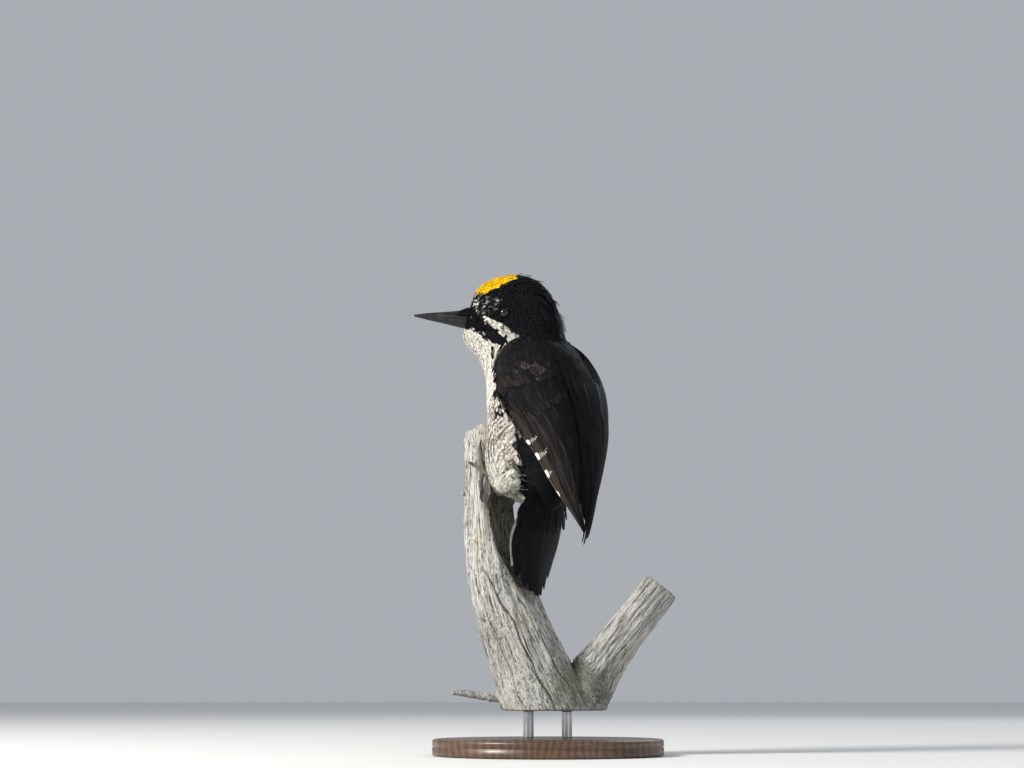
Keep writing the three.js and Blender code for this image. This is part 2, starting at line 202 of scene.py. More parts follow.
@dataclass(frozen=True)
class Stance:
    """Where the snag's and the bird's frames stand, and how far the head is turned."""

    snag: Triple = (0.0, 5.0, 33.0)
    bird: Triple = (-0.7, -14.5, 0.0)
    turn: float = math.radians(143)
    head_turn: float = math.radians(32)
    neck_axis: float = 2.0

    def from_bird(self, points: Array) -> Array:
        """Points of the bird's frame in the part's frame."""
        return spun(points, self.turn) + np.add(self.bird, self.snag)

    def to_bird(self, points: Array) -> Array:
        """Points of the part's frame in the bird's frame."""
        return spun(points - np.add(self.bird, self.snag), -self.turn)

    def head(self, points: Array) -> Array:
        """Points of the unturned head, turned with it."""
        return spun(points, self.head_turn, (self.neck_axis, 0))


STANCE = Stance()


# --- meshes


class Surface:
    """The points, faces and values of a mesh that is being made, in millimetres."""

    def __init__(self) -> None:
        """Starts empty."""
        self.points: list[Array] = []
        self.faces: list[Array] = []
        self.values: dict[str, list[Array]] = {}
        self.count = 0

    def add(self, points: Array, faces: Array, **values: Array) -> "Surface":
        """Adds points with their faces.

        Args:
            points: One row for each point.
            faces: Rows of three or four numbers of these points.
            values: Rows of one to four numbers for each point; uv is the map OFBake.

        Returns:
            Itself.
        """
        flat = points.reshape(-1, 3)
        self.points.append(flat)
        self.faces.append(np.asarray(faces) + self.count)
        for name, rows in values.items():
            self.values.setdefault(name, []).append(np.asarray(rows, np.float32))
        self.count += len(flat)
        return self

    def made(self, name: str, material: Material, place: Callable | None = None) -> Any:
        """The mesh object, in metres.

        Args:
            name: The object's name.
            material: Its only material.
            place: Moves points to the part's frame; the bird's own move when left out.

        Returns:
            The object, linked to the scene.
        """
        points = (place or STANCE.from_bird)(np.concatenate(self.points)) * MM
        corners = np.concatenate([f.ravel() for f in self.faces])
        sizes = np.concatenate([np.full(len(f), f.shape[1]) for f in self.faces])
        mesh = bpy.data.meshes.new(name)
        mesh.vertices.add(len(points))
        mesh.vertices.foreach_set("co", points.astype(np.float32).ravel())
        mesh.loops.add(len(corners))
        mesh.loops.foreach_set("vertex_index", corners.astype(np.int32))
        mesh.polygons.add(len(sizes))
        mesh.polygons.foreach_set("loop_start", (np.cumsum(sizes) - sizes).astype(np.int32))
        mesh.update(calc_edges=True)
        mesh.polygons.foreach_set("use_smooth", np.ones(len(sizes), bool))
        kinds = {1: ("FLOAT", "value"), 3: ("FLOAT_VECTOR", "vector"), 4: ("FLOAT_COLOR", "color")}
        for label, parts in self.values.items():
            rows = np.concatenate([p.reshape(len(p), -1) for p in parts])
            if label == "uv":
                layer = mesh.uv_layers.new(name="OFBake")
                layer.data.foreach_set("uv", rows[corners].ravel())
                continue
            kind, slot = kinds[rows.shape[1]]
            attribute = mesh.attributes.new(label, kind, "POINT")
            attribute.data.foreach_set(slot, rows.ravel())
        made = bpy.data.objects.new(name, mesh)
        bpy.context.scene.collection.objects.link(made)
        mesh.materials.append(material)
        return made


def one_piece(name: str, material: Material, points: Array, faces: Array, place: Callable | None = None,
        **values: Array) -> Any:
    """A mesh object of one part; see add() and made() of Surface."""
    return Surface().add(points, faces, **values).made(name, material, place)


def sheet_faces(rows: int, columns: int, closed: bool = False) -> Array:
    """Four-sided faces over a grid of points; closed joins the last column to the first.

    Args:
        rows: Rows of points.
        columns: Points in each row.
        closed: Whether it goes all the way round.

    Returns:
        Rows of four numbers.
    """
    i, j = np.meshgrid(np.arange(rows - 1), np.arange(columns - (not closed)), indexing="ij")
    k = (j + 1) % columns
    quads = [i * columns + j, i * columns + k, (i + 1) * columns + k, (i + 1) * columns + j]
    return np.stack(quads, -1).reshape(-1, 4)


def lofted(rings: Array) -> tuple[Array, Array]:
    """A closed skin over rings of points.

    Args:
        rings: Rings, points round each, and three numbers.

    Returns:
        Points, and faces with three corners.
    """
    n, sides = rings.shape[:2]
    quads = sheet_faces(n, sides, closed=True)
    points = np.concatenate([rings.reshape(-1, 3), rings[[0, -1]].mean(1)])
    j = np.arange(sides)
    k = (j + 1) % sides
    last = (n - 1) * sides
    start = np.stack([np.full(sides, n * sides), k, j], -1)
    end = np.stack([np.full(sides, n * sides + 1), last + j, last + k], -1)
    return points, np.concatenate([quads[:, :3], quads[:, [0, 2, 3]], start, end])


def tube(path: Array, radii: Sequence[float], steps: int, sides: int) -> Array:
    """Rings round a smooth path.

    Args:
        path: Points on the middle line.
        radii: A radius for each.
        steps: How many lengths it is divided into.
        sides: Points on each ring.

    Returns:
        The rings, for lofted().
    """
    t = np.linspace(0, 1, steps + 1)
    line = along(np.asarray(path, float), t)
    radius = along(np.asarray(radii, float)[:, None], t)[:, 0]
    onward = unit(np.gradient(line, axis=0))
    seed = UP if abs(onward[0][2]) < 0.9 else np.array([1.0, 0, 0])
    first = unit(np.cross(onward[0], seed))
    turn = circle(sides)
    rings = []
    for middle, ahead, r in zip(line, onward, radius):
        first = flat_on(first, ahead)
        second = np.cross(ahead, first)
        rings.append(middle + r * (np.cos(turn)[:, None] * first + np.sin(turn)[:, None] * second))
    return np.array(rings)


def read(items: Any, name: str, width: int = 1, kind: type = float) -> Array:
    """One property of every item of a mesh; width is how many numbers it has.

    Args:
        items: The mesh's points, corners or faces.
        name: The property's name.
        width: How many numbers it has.
        kind: Their type.

    Returns:
        One row for each item.
    """
    rows = np.zeros(len(items) * width, kind)
    items.foreach_get(name, rows)
    return rows.reshape(-1, width) if width > 1 else rows


def largest(count: int, faces: Array) -> Array:
    """Which of count points belong to the largest connected piece of faces.

    Args:
        count: How many points there are.
        faces: Rows of the numbers of points.

    Returns:
        A mask of the points.
    """
    label, old = np.arange(count), None
    while old is None or (label != old).any():
        old = label.copy()
        np.minimum.at(label, faces, old[faces].min(1)[:, None])
        label = label[label]
    return label == np.bincount(label).argmax()


def remeshed(parts: Sequence[tuple[Array, Array]], cell: float, rounds: int) -> Any:
    """One even closed mesh over the union of closed parts.

    Args:
        parts: Points and faces of each part.
        cell: Size of the new faces.
        rounds: Rounds of smoothing.

    Returns:
        Points and four-sided faces.
    """
    whole = Surface()
    for points, faces in parts:
        whole.add(points, faces)
    draft = whole.made("draft", bpy.data.materials.new("draft"), place=fixed)
    voxels = draft.modifiers.new("even", "REMESH")
    voxels.mode = "VOXEL"
    voxels.voxel_size = cell * MM
    relax = draft.modifiers.new("relax", "SMOOTH")
    relax.iterations = rounds
    relax.factor = 0.5
    mesh = draft.evaluated_get(bpy.context.evaluated_depsgraph_get()).to_mesh()
    points = read(mesh.vertices, "co", 3) / MM
    corners = read(mesh.loops, "vertex_index", kind=np.int32)
    starts = read(mesh.polygons, "loop_start", kind=np.int32)
    sizes = np.diff(np.append(starts, len(corners)))
    quads = corners[starts[sizes == 4][:, None] + np.arange(4)]
    bpy.data.objects.remove(draft)
    kept = largest(len(points), quads)
    return points[kept], (np.cumsum(kept) - 1)[quads[kept[quads[:, 0]]]]


def vertex_normals(points: Array, faces: Array) -> Array:
    """The outward direction at each point of a closed mesh.

    Args:
        points: The mesh's points.
        faces: Rows of the numbers of points.

    Returns:
        A direction for each point.
    """
    a, b, c = (points[faces[:, k]] for k in (0, 1, 2))
    turned = np.cross(b - a, c - a)
    total = np.zeros_like(points)
    for k in range(faces.shape[1]):
        np.add.at(total, faces[:, k], turned)
    return unit(total)


class Form:
    """A closed shape that feathers are laid on."""

    def __init__(self, points: Array, faces: Array) -> None:
        """Keeps the shape's points and faces, and a tree to find places on it.

        Args:
            points: The shape's points.
            faces: Rows of the numbers of points.
        """
        self.points, self.faces = points, faces
        self.normals = vertex_normals(points, faces)
        self.tree = BVHTree.FromPolygons(points.tolist(), faces.tolist())

    def nearest(self, points: Array) -> tuple[Array, Array]:
        """The nearest places on the form, and the outward direction at each.

        Args:
            points: Places, three numbers each.

        Returns:
            Places and directions, to match points.
        """
        flat = points.reshape(-1, 3)
        spots, numbers = np.zeros_like(flat), np.zeros(len(flat), int)
        for i, point in enumerate(flat.tolist()):
            spot, _, number, _ = self.tree.find_nearest(point)
            spots[i], numbers[i] = spot, number
        corners = self.faces[numbers]
        away = np.linalg.norm(self.points[corners] - spots[:, None], axis=-1)
        share = (1 / (away + 1e-3))[..., None]
        normals = unit(np.sum(self.normals[corners] * share, 1))
        return spots.reshape(points.shape), normals.reshape(points.shape)


def thinned(points: Array, apart: Array) -> Array:
    """Numbers of points, taken in order, that keep apart from those taken before them.

    Args:
        points: Places, the ones to keep first.
        apart: How far apart, for each.

    Returns:
        The numbers of those kept.
    """
    tree = tree_of(points)
    free = np.ones(len(points), bool)
    kept = []
    for i, point in enumerate(points.tolist()):
        if free[i]:
            kept.append(i)
            for _, j, _ in tree.find_range(point, apart[i]):
                free[j] = False
    return np.array(kept, int)


# --- shader expressions


def operator(operation: str, turned: bool = False) -> Callable:
    """A method for one of Python's operators.

    Args:
        operation: The Math node's operation.
        turned: Whether the other value comes first.

    Returns:
        The method.
    """

    def made(self: "Value", other: Any) -> "Value":
        """The Math node."""
        return self.graph.math(operation, *((other, self) if turned else (self, other)))

    return made


@dataclass(frozen=True)
class Value:
    """A socket that Python's operators work on."""

    graph: "Graph"
    socket: Any

    def math(self, operation: str, *others: Any) -> "Value":
        """A Math node on this value and others."""
        return self.graph.math(operation, self, *others)

    __add__ = __radd__ = operator("ADD")
    __sub__, __rsub__ = operator("SUBTRACT"), operator("SUBTRACT", turned=True)
    __mul__ = __rmul__ = operator("MULTIPLY")

    def __abs__(self) -> "Value":
        """The size of the value."""
        return self.math("ABSOLUTE")

    def ramp(self, low: float, high: float) -> "Value":
        """0 below low, 1 beyond high and smooth between; low may be the larger one."""
        ends = dict(enumerate((self, low, high, 0, 1) if low < high else (self, high, low, 1, 0)))
        return self.graph.node("ShaderNodeMapRange", {"interpolation_type": "SMOOTHSTEP"}, ends)

    def mix(self, at_0: Any, at_1: Any) -> "Value":
        """The colour between two, by this value."""
        settings = {"data_type": "RGBA", "clamp_factor": True}
        return self.graph.node("ShaderNodeMix", settings, {0: self, 6: at_0, 7: at_1}, output=2)


class Graph:
    """The nodes of one material."""

    def __init__(self, material: Material) -> None:
        """Takes over the material's nodes.

        Args:
            material: The material.
        """
        material.use_nodes = True
        self.tree = material.node_tree
        self.tree.nodes.clear()

    def node(self, kind: str, settings: Mapping[str, Any] | None = None,
            inputs: Mapping[Any, Any] | None = None, output: Any = 0) -> Value:
        """A node with its settings made first and its sockets fed after.

        Args:
            kind: The node's type.
            settings: Its own settings.
            inputs: Values or links for its sockets, by name or number.
            output: The socket that the result stands for.

        Returns:
            The output socket as a value.
        """
        made = self.tree.nodes.new(kind)
        for name, setting in (settings or {}).items():
            setattr(made, name, setting)
        for name, given in (inputs or {}).items():
            self.feed(made.inputs[name], given)
        return Value(self, made.outputs[output] if made.outputs else None)

    def feed(self, socket: Any, given: Any) -> None:
        """Links a value to a socket, or sets a number or colour on it.

        Args:
            socket: A node's socket.
            given: The value, number or colour.
        """
        if isinstance(given, Value):
            self.tree.links.new(given.socket, socket)
        elif isinstance(given, tuple) and socket.type == "RGBA":
            socket.default_value = (*given, 1)
        else:
            socket.default_value = given

    def math(self, operation: str, *values: Any) -> Value:
        """A Math node on values."""
        return self.node("ShaderNodeMath", {"operation": operation}, dict(enumerate(values)))

    def place(self) -> Value:
        """The place on the object, in metres."""
        return self.node("ShaderNodeTexCoord", output="Object")

    def value(self, name: str, output: str = "Fac") -> Value:
        """The mesh's own value of that name."""
        settings = {"attribute_type": "GEOMETRY", "attribute_name": name}
        return self.node("ShaderNodeAttribute", settings, output=output)

    def feather(self) -> tuple[Value, ...]:
        """The mesh's values of vanes: along, across, chance, three marks, phase and reach."""
        place = self.split(self.value("vane", "Vector"))
        return *place, *self.split(self.value("marks", "Color")), self.value("phase"), self.value("reach")

    def split(self, vector: Value) -> tuple[Value, Value, Value]:
        """The three numbers of a vector or colour."""
        made = self.node("ShaderNodeSeparateXYZ", inputs={0: vector})
        return tuple(Value(self, socket) for socket in made.socket.node.outputs)

    def stretched(self, vector: Value, scale: Sequence[float]) -> Value:
        """A vector with each of its numbers scaled."""
        return self.node("ShaderNodeVectorMath", {"operation": "MULTIPLY"}, {0: vector, 1: tuple(scale)})

    def noise(self, vector: Value, scale: float, detail: float = 3, rough: float = 0.5) -> Value:
        """Smooth random values, 0 to 1, about 1/scale across."""
        inputs = {"Vector": vector, "Scale": scale, "Detail": detail, "Roughness": rough}
        return self.node("ShaderNodeTexNoise", inputs=inputs, output=0)

    def bump(self, height: Value, distance: float) -> Value:
        """The normal of a relief; distance is its depth in metres."""
        return self.node("ShaderNodeBump", inputs={"Height": height, "Distance": distance})

    def surface(self, **sockets: Any) -> None:
        """Ends the material in one Principled shader; sockets are named with underscores.

        Args:
            sockets: What each socket gets.
        """
        named = {name.replace("_", " "): given for name, given in sockets.items()}
        shader = self.node("ShaderNodeBsdfPrincipled", inputs=named)
        self.node("ShaderNodeOutputMaterial", inputs={"Surface": shader})


@dataclass(frozen=True)
class Finish:
    """A finish; each kind has its own shade method."""

    name: str

    def shade(self, graph: Graph) -> None:
        """Makes the nodes."""
        raise NotImplementedError

    def made(self) -> Material:
        """The material.

        Returns:
            The material.
        """
        material = bpy.data.materials.new(self.name)
        self.shade(Graph(material))
        return material


@dataclass(frozen=True)
class Plumage(Finish):
    """Feathers. The mesh says where they are pale, golden or barred, and where each shaft is."""

    dark: Colour = (0.0045, 0.0045, 0.0060)
    worn: Colour = (0.022, 0.018, 0.016)
    wear: float = 0.25
    pale: Colour = (0.82, 0.80, 0.73)
    shaded: Colour = (0.40, 0.37, 0.32)
    band: Colour = (0.052, 0.045, 0.038)
    gold: Colour = (0.80, 0.40, 0.002)
    lemon: Colour = (0.92, 0.68, 0.015)
    barbs: float = 5.5  # ridges in a millimetre
    relief: float = 0.00005
    gloss: float = 0.52
    shine: float = 0.07

    def shade(self, graph: Graph) -> None:
        """Colours by the marks, with barbs that run out from the shaft.

        Args:
            graph: The material's nodes.
        """
        along_vane, across, chance, pale, golden, barred, phase, reach = graph.feather()
        place = graph.place()
        fine = graph.noise(place, 900, 2)
        broad = graph.noise(place, 110, 3)
        wave = ((phase + (fine - 0.5) * 0.42 + (broad - 0.5) * 0.8) * (2 * math.pi)).math("SINE")
        patchy = graph.noise(place, 190, 3).ramp(0.32, 0.62) * 0.65 + 0.35
        bars = wave.ramp(-0.30, 0.40) * barred * patchy
        clean = (pale + (fine - 0.5) * 0.24).ramp(0.30, 0.62)
        worn = (broad.ramp(0.45, 0.72) * 0.6 + chance * 0.6).ramp(0.25, 1.05) * self.wear
        edge = along_vane.ramp(0.72, 1.0) * (self.wear * 0.5)
        black = (worn + edge).mix(self.dark, self.worn)
        # painted shade: pale feathers turn towards the shaded colour near each root and over the barred
        # flanks, with random differences from feather to feather
        tone = (chance * 0.55 + (1 - along_vane) * 0.45 + (broad - 0.5) * 0.6 + barred * 0.35).ramp(0.15, 1.1)
        bright = bars.mix(tone.mix(self.pale, self.shaded), self.band)
        yellow = (chance * 0.75 + fine * 0.4).ramp(0.15, 1.05).mix(self.gold, self.lemon)
        colour = golden.ramp(0.4, 0.6).mix(clean.mix(black, bright), yellow)
        run = (along_vane * reach + abs(across) * 1.2) * (self.barbs * 2 * math.pi)
        shaft = abs(across).ramp(0.12, 0.0)
        height = run.math("SINE") * 0.5 + shaft * 1.5 + fine * 0.8
        graph.surface(Base_Color=colour, Roughness=blend(self.gloss, 0.80, clean) + (fine - 0.5) * 0.12,
            Specular_IOR_Level=self.shine, Specular_Tint=(0.80, 0.88, 1.0),
            Normal=graph.bump(height, self.relief))


@dataclass(frozen=True)
class BarredQuill(Finish):
    """Wing and tail quills: dark vanes, a paler shaft and white patches where the mesh says."""

    dark: Colour = (0.0050, 0.0050, 0.0062)
    worn: Colour = (0.040, 0.031, 0.026)
    rim: Colour = (0.16, 0.14, 0.12)
    pale: Colour = (0.86, 0.84, 0.74)
    barbs: float = 4.5
    relief: float = 0.00006
    shine: float = 0.08

    def shade(self, graph: Graph) -> None:
        """Colours by the marks, with barbs that run out from the shaft.

        Args:
            graph: The material's nodes.
        """
        along_vane, across, chance, pale, brown, rimmed, phase, reach = graph.feather()
        place = graph.place()
        fine = graph.noise(place, 800, 2)
        broad = graph.noise(place, 90, 3)
        streak = (across * 9 - along_vane * reach * 0.35 + chance * 7).math("SINE")
        shifted = phase + (fine - 0.5) * 0.10
        near = abs(shifted - shifted.math("ROUND"))
        barbs = ((along_vane * reach + abs(across) * 3.0) * (2 * math.pi)).math("SINE") * 0.5 + fine
        broken = pale.ramp(0.62, 0.36) * barbs.ramp(0.35, 0.85) * 0.8
        white = (pale * 0.22 - near).ramp(0.0, 0.06) * (1 - broken)
        # on the wing's coverts, brown and rimmed also carry a painted highlight, drawn in the worn and rim
        # colours
        worn = (brown + (broad - 0.5) * 0.5 + streak * 0.12 + (chance - 0.5) * 0.40).ramp(0.1, 1.0)
        black = worn.mix(self.dark, self.worn)
        outer = (abs(across) * 0.8 + along_vane.ramp(0.7, 1.0) * 0.35 + fine * 0.3).ramp(0.78, 1.02) * rimmed
        colour = white.mix(outer.mix(black, self.rim), self.pale)
        shaft = abs(across).ramp(0.07, 0.0)
        run = (along_vane * reach + abs(across) * 3.0) * (self.barbs * 2 * math.pi)
        graph.surface(Base_Color=(shaft * 0.25 * worn).mix(colour, self.rim),
            Roughness=blend(0.46, 0.62, worn) + (fine - 0.5) * 0.12, Specular_IOR_Level=self.shine,
            Specular_Tint=(0.82, 0.88, 1.0),
            Normal=graph.bump(run.math("SINE") * 0.5 + shaft * 1.0 + fine * 0.5, self.relief))


@dataclass(frozen=True)
class Horn(Finish):
    """Bill and claws: satin slate horn with fine growth lines, paler in soft random patches."""

    deep: Colour = (0.005, 0.0055, 0.0068)
    pale: Colour = (0.030, 0.032, 0.035)
    lines: float = 2600.0
    shine: float = 0.34

    def shade(self, graph: Graph) -> None:
        """Colour and relief by lines along the horn.

        Args:
            graph: The material's nodes.
        """
        place = graph.place()
        grain = graph.noise(graph.stretched(place, (0.12, 1, 1)), self.lines, 3)
        cloud = graph.noise(place, 260, 3)
        scratch = graph.noise(graph.stretched(place, (0.3, 1, 1)), self.lines * 2, 2)
        worn = (cloud * 0.7 + grain * 0.5).ramp(0.45, 0.95)
        graph.surface(Base_Color=worn.mix(self.deep, self.pale),
            Roughness=blend(self.shine, self.shine + 0.2, scratch), Specular_IOR_Level=0.3,
            Normal=graph.bump(grain * 0.7 + scratch * 0.3, 0.00006))


@dataclass(frozen=True)
class EyeGloss(Finish):
    """A dark brown iris round a black pupil under a wet front; the mesh says how far out."""

    iris: Colour = (0.008, 0.0045, 0.003)
    flecks: Colour = (0.020, 0.010, 0.006)
    rim: Colour = (0.004, 0.003, 0.003)

    def shade(self, graph: Graph) -> None:
        """Rings by the distance from the middle of the eye.

        Args:
            graph: The material's nodes.
        """
        out = graph.value("out")
        fibres = graph.noise(graph.place(), 2600, 2)
        iris = (fibres * 0.8 + out * 0.3).ramp(0.2, 0.9).mix(self.iris, self.flecks)
        ringed = out.ramp(0.70, 0.84).mix(iris, self.rim)
        graph.surface(Base_Color=out.ramp(0.44, 0.50).mix((0.001, 0.001, 0.001), ringed),
            Roughness=0.05 + fibres * 0.02, Specular_IOR_Level=0.25, Coat_Weight=0.55,
            Coat_Roughness=0.06)


@dataclass(frozen=True)
class LegSkin(Finish):
    """Scaly grey skin of the toes; the mesh has the way along and round each."""

    dark: Colour = (0.035, 0.033, 0.030)
    light: Colour = (0.130, 0.118, 0.092)

    def shade(self, graph: Graph) -> None:
        """Rows of plates over the toe, with dark lines between.

        Args:
            graph: The material's nodes.
        """
        along_toe, round_toe, _ = graph.split(graph.value("vane", "Vector"))
        fine = graph.noise(graph.place(), 1800, 3)
        step = (along_toe * 1.5 + (fine - 0.5) * 0.3).math("FRACT")
        plate = step.ramp(0.0, 0.16) * step.ramp(1.0, 0.84)
        under = round_toe.ramp(0.55, 0.8)
        pebbled = graph.node("ShaderNodeTexVoronoi", inputs={"Vector": graph.place(), "Scale": 2200})
        height = (1 - under) * plate + under * pebbled
        graph.surface(Base_Color=(height * 0.6 + fine * 0.5).ramp(0.2, 1.0).mix(self.dark, self.light),
            Roughness=0.5 + fine * 0.15, Specular_IOR_Level=0.35,
            Normal=graph.bump(height + fine * 0.3, 0.00016))


@dataclass(frozen=True)
class Weathered(Finish):
    """Bare grey wood, with the mesh's straightened way of the grain and its depth of relief."""

    silver: Colour = (0.56, 0.56, 0.53)
    grey: Colour = (0.19, 0.185, 0.17)
    dark: Colour = (0.045, 0.040, 0.034)
    tan: Colour = (0.33, 0.27, 0.17)
    lichen: Colour = (0.19, 0.21, 0.10)
    shadow: Colour = (0.36, 0.34, 0.29)

    def shade(self, graph: Graph) -> None:
        """Long grain lines, cracks, stains and lichen.

        Args:
            graph: The material's nodes.
        """
        grain = graph.value("grain", "Vector")
        crack, inner, green = graph.split(graph.value("state", "Color"))
        lines = graph.noise(graph.stretched(grain, (1, 1, 0.05)), 0.75, 4, 0.62)
        hair = graph.noise(graph.stretched(grain, (1, 1, 0.035)), 2.6, 3, 0.6)
        thread = graph.noise(graph.stretched(grain, (1, 1, 0.05)), 6.0, 2, 0.5)
        blotch = graph.noise(graph.stretched(grain, (1, 1, 0.4)), 0.07, 4, 0.6)
        speck = graph.noise(grain, 1.1, 4, 0.7)
        tone = (lines * 0.5 + hair * 0.7 + (blotch - 0.5) * 0.7 + (thread - 0.5) * 0.6).ramp(0.38, 0.78)
        bare = tone.mix(self.grey, self.silver)
        checks = hair.ramp(0.47, 0.37) * (lines + speck * 0.3).ramp(0.72, 0.52)
        pits = speck.ramp(0.36, 0.26) * 0.8
        bare = checks.math("MAXIMUM", pits).mix(bare, self.dark)
        stain = (blotch + (speck - 0.5) * 0.35).ramp(0.52, 0.72) * 0.55
        bare = stain.mix(bare, self.tan)
        # painted shade inside the hollow: its wood goes from the dark colour to the shadow colour
        inside = (tone * 0.6 + speck * 0.5 - checks * 0.5).ramp(0.1, 1.0).mix(self.dark, self.shadow)
        wood = inner.mix(bare, inside)
        crust = (green + (speck - 0.5) * 2.6 + (blotch - 0.5) * 0.7).ramp(0.50, 0.85) * green.ramp(0.02, 0.3)
        wood = (crust * 0.70).mix(wood, self.lichen)
        # cracks drawn near black: the grooves are real, their darkness is painted shade
        wood = crack.mix(wood, (0.016, 0.013, 0.010))
        height = lines * 0.9 + hair * 0.5 - checks * 0.9 + crust * 0.4 + speck * 0.25
        graph.surface(Base_Color=wood, Roughness=0.82 + (hair - 0.5) * 0.2, Specular_IOR_Level=0.25,
            Normal=graph.bump(height, 0.0007))


@dataclass(frozen=True)
class Turned(Finish):
    """Oiled dark wood of a turned base."""

    deep: Colour = (0.050, 0.026, 0.014)
    warm: Colour = (0.150, 0.078, 0.038)

    def shade(self, graph: Graph) -> None:
        """Rings of grain drawn out across the board, with fine pores.

        Args:
            graph: The material's nodes.
        """
        place = graph.place()
        drawn = graph.stretched(place, (1, 0.09, 1))
        bend = graph.noise(drawn, 55, 3)
        x, _, _ = graph.split(place)
        rings = (x * 1500 + bend * 16).math("SINE")
        pores = graph.noise(graph.stretched(place, (1, 0.05, 1)), 1500, 3, 0.6)
        tone = (rings * 0.14 + bend * 0.5 + pores * 0.4).ramp(0.2, 0.80)
        graph.surface(Base_Color=(pores.ramp(0.42, 0.34) * 0.6).mix(tone.mix(self.deep, self.warm),
            self.deep), Roughness=0.34 + pores * 0.16, Coat_Weight=0.25, Coat_Roughness=0.2,
            Normal=graph.bump(pores + rings * 0.1, 0.00008))


@dataclass(frozen=True)
class Steel(Finish):
    """Brushed steel rod."""

    bright: Colour = (0.60, 0.60, 0.61)
    dull: Colour = (0.42, 0.42, 0.43)

    def shade(self, graph: Graph) -> None:
        """Fine turning marks round the rod.

        Args:
            graph: The material's nodes.
        """
        marks = graph.noise(graph.stretched(graph.place(), (0.03, 0.03, 1)), 6000, 2)
        smear = graph.noise(graph.place(), 120, 3)
        graph.surface(Base_Color=(marks * 0.5 + smear * 0.6).ramp(0.3, 0.8).mix(self.dull, self.bright),
            Metallic=1.0, Roughness=0.24 + marks * 0.16, Normal=graph.bump(marks, 0.00003))


@dataclass(frozen=True)
class Plain(Finish):
    """The studio floor's matt paper."""

    tone: Colour = (0.80, 0.80, 0.79)

    def shade(self, graph: Graph) -> None:
        """A pale colour with a barely seen tooth.

        Args:
            graph: The material's nodes.
        """
        tooth = graph.noise(graph.place(), 300, 3)
        light = tuple(c * 1.02 for c in self.tone)
        graph.surface(Base_Color=tooth.mix(self.tone, light), Roughness=0.9, Specular_IOR_Level=0.2,
            Normal=graph.bump(tooth, 0.0001))


# --- vanes


@dataclass(frozen=True)
class Cut:
    """The cut of one kind of vane.

    outline is the half width at equal steps from root to tip, as a share of the widest; camber
    the drop of its edges as a share of the half width; ragged how far single barbs end short
    or long, as a share of the length.
    """

    outline: Many
    columns: int = 5
    camber: float = 0.2
    ragged: float = 0.06

    @property
    def steps(self) -> Array:
        """The places that the outline is given at."""
        return np.linspace(0, 1, len(self.outline))

    def share(self, s: Array) -> Array:
        """The half width at places from root to tip."""
        return np.interp(s, self.steps, self.outline)


CONTOUR = Cut((0.30, 0.75, 0.97, 1.0, 0.93, 0.74, 0.30), 5, 0.16, 0.035)
SMALL = Cut((0.40, 0.88, 1.0, 0.90, 0.64, 0.16), 3, 0.22, 0.09)
STRAND = Cut((0.8, 1.0, 0.7, 0.12), 2, 0.0, 0.0)
QUILL = Cut((0.45, 0.62, 0.76, 0.86, 0.93, 0.97, 1.0, 1.0, 1.0, 1.0, 1.0, 0.99, 0.97, 0.92, 0.82, 0.62,
    0.20), 7, 0.0, 0.012)
COVERT = Cut((0.35, 0.72, 0.93, 1.0, 1.0, 0.93, 0.74, 0.28), 5, 0.14, 0.035)
STIFF = Cut((0.55, 0.70, 0.82, 0.90, 0.96, 1.0, 1.0, 1.0, 0.98, 0.95, 0.91, 0.86, 0.78, 0.68, 0.55, 0.39,
    0.14), 7, 0.10, 0.02)

PATCH = 0.003  # size of one vane's patch on the map OFBake


@dataclass
class Roots:
    """Where feathers grow: places, their lie, places on the unwrap, and values for the mesh."""

    at: Array
    lie: Array
    uv: Array
    values: dict[str, Array]

    def only(self, picked: Array) -> "Roots":
        """Those picked by a mask or by numbers."""
        values = {name: rows[picked] for name, rows in self.values.items()}
        return Roots(self.at[picked], self.lie[picked], self.uv[picked], values)

    def joined(self, other: "Roots") -> "Roots":
        """These and the other ones."""
        both = [np.concatenate([getattr(self, k), getattr(other, k)]) for k in ("at", "lie", "uv")]
        return Roots(*both, {k: np.concatenate([rows, other.values[k]]) for k, rows in self.values.items()})

    def repeated(self, times: int) -> "Roots":
        """Each several times over."""
        return self.only(np.repeat(np.arange(len(self.at)), times))


def walked(form: Form, roots: Roots, length: Array, rows: int) -> tuple[Array, Array]:
    """Middle lines that follow a form from roots along their lie.

    Args:
        form: The shape they follow.
        roots: Where they start.
        length: Length of each.
        rows: Points on each.

    Returns:
        The points of each line on the form, and the outward direction at each.
    """
    spot, normal = form.nearest(roots.at)
    lie = flat_on(roots.lie, normal)
    spots, normals = [spot], [normal]
    for _ in range(rows - 1):
        spot, normal = form.nearest(spot + lie * (length / (rows - 1))[:, None])
        lie = flat_on(lie, normal)
        spots.append(spot)
        normals.append(normal)
    return np.stack(spots, 1), np.stack(normals, 1)


def add_vanes(surface: Surface, points: Array, place: Sequence[Any], reach: Any, uv: Array,
        flip: bool = False, **values: Array) -> None:
    """Adds vanes, each a grid of points.

    Args:
        surface: Takes them.
        points: Vanes, rows, columns and three numbers.
        place: The way along and across each vane and its chance, to match points.
        reach: Each vane's length, to match points.
        uv: The middle of each vane's patch, to match points.
        flip: Whether its faces look the other way.
        values: More values for the mesh, to match points.
    """
    n, rows, columns = grid = points.shape[:3]
    one = sheet_faces(rows, columns)
    faces = (one[None] + (np.arange(n) * rows * columns)[:, None, None]).reshape(-1, 4)
    s, a, chance = (np.broadcast_to(given, grid) for given in place)
    patch = uv + PATCH * np.stack([a / 2, s - 0.5], -1)
    surface.add(points, faces[:, ::-1] if flip else faces, uv=patch.reshape(-1, 2),
        vane=np.stack([s, a, chance], -1).reshape(-1, 3), reach=np.broadcast_to(reach, grid).reshape(-1),
        **{k: v.reshape((points[..., 0].size,) + v.shape[3:]) for k, v in values.items()})


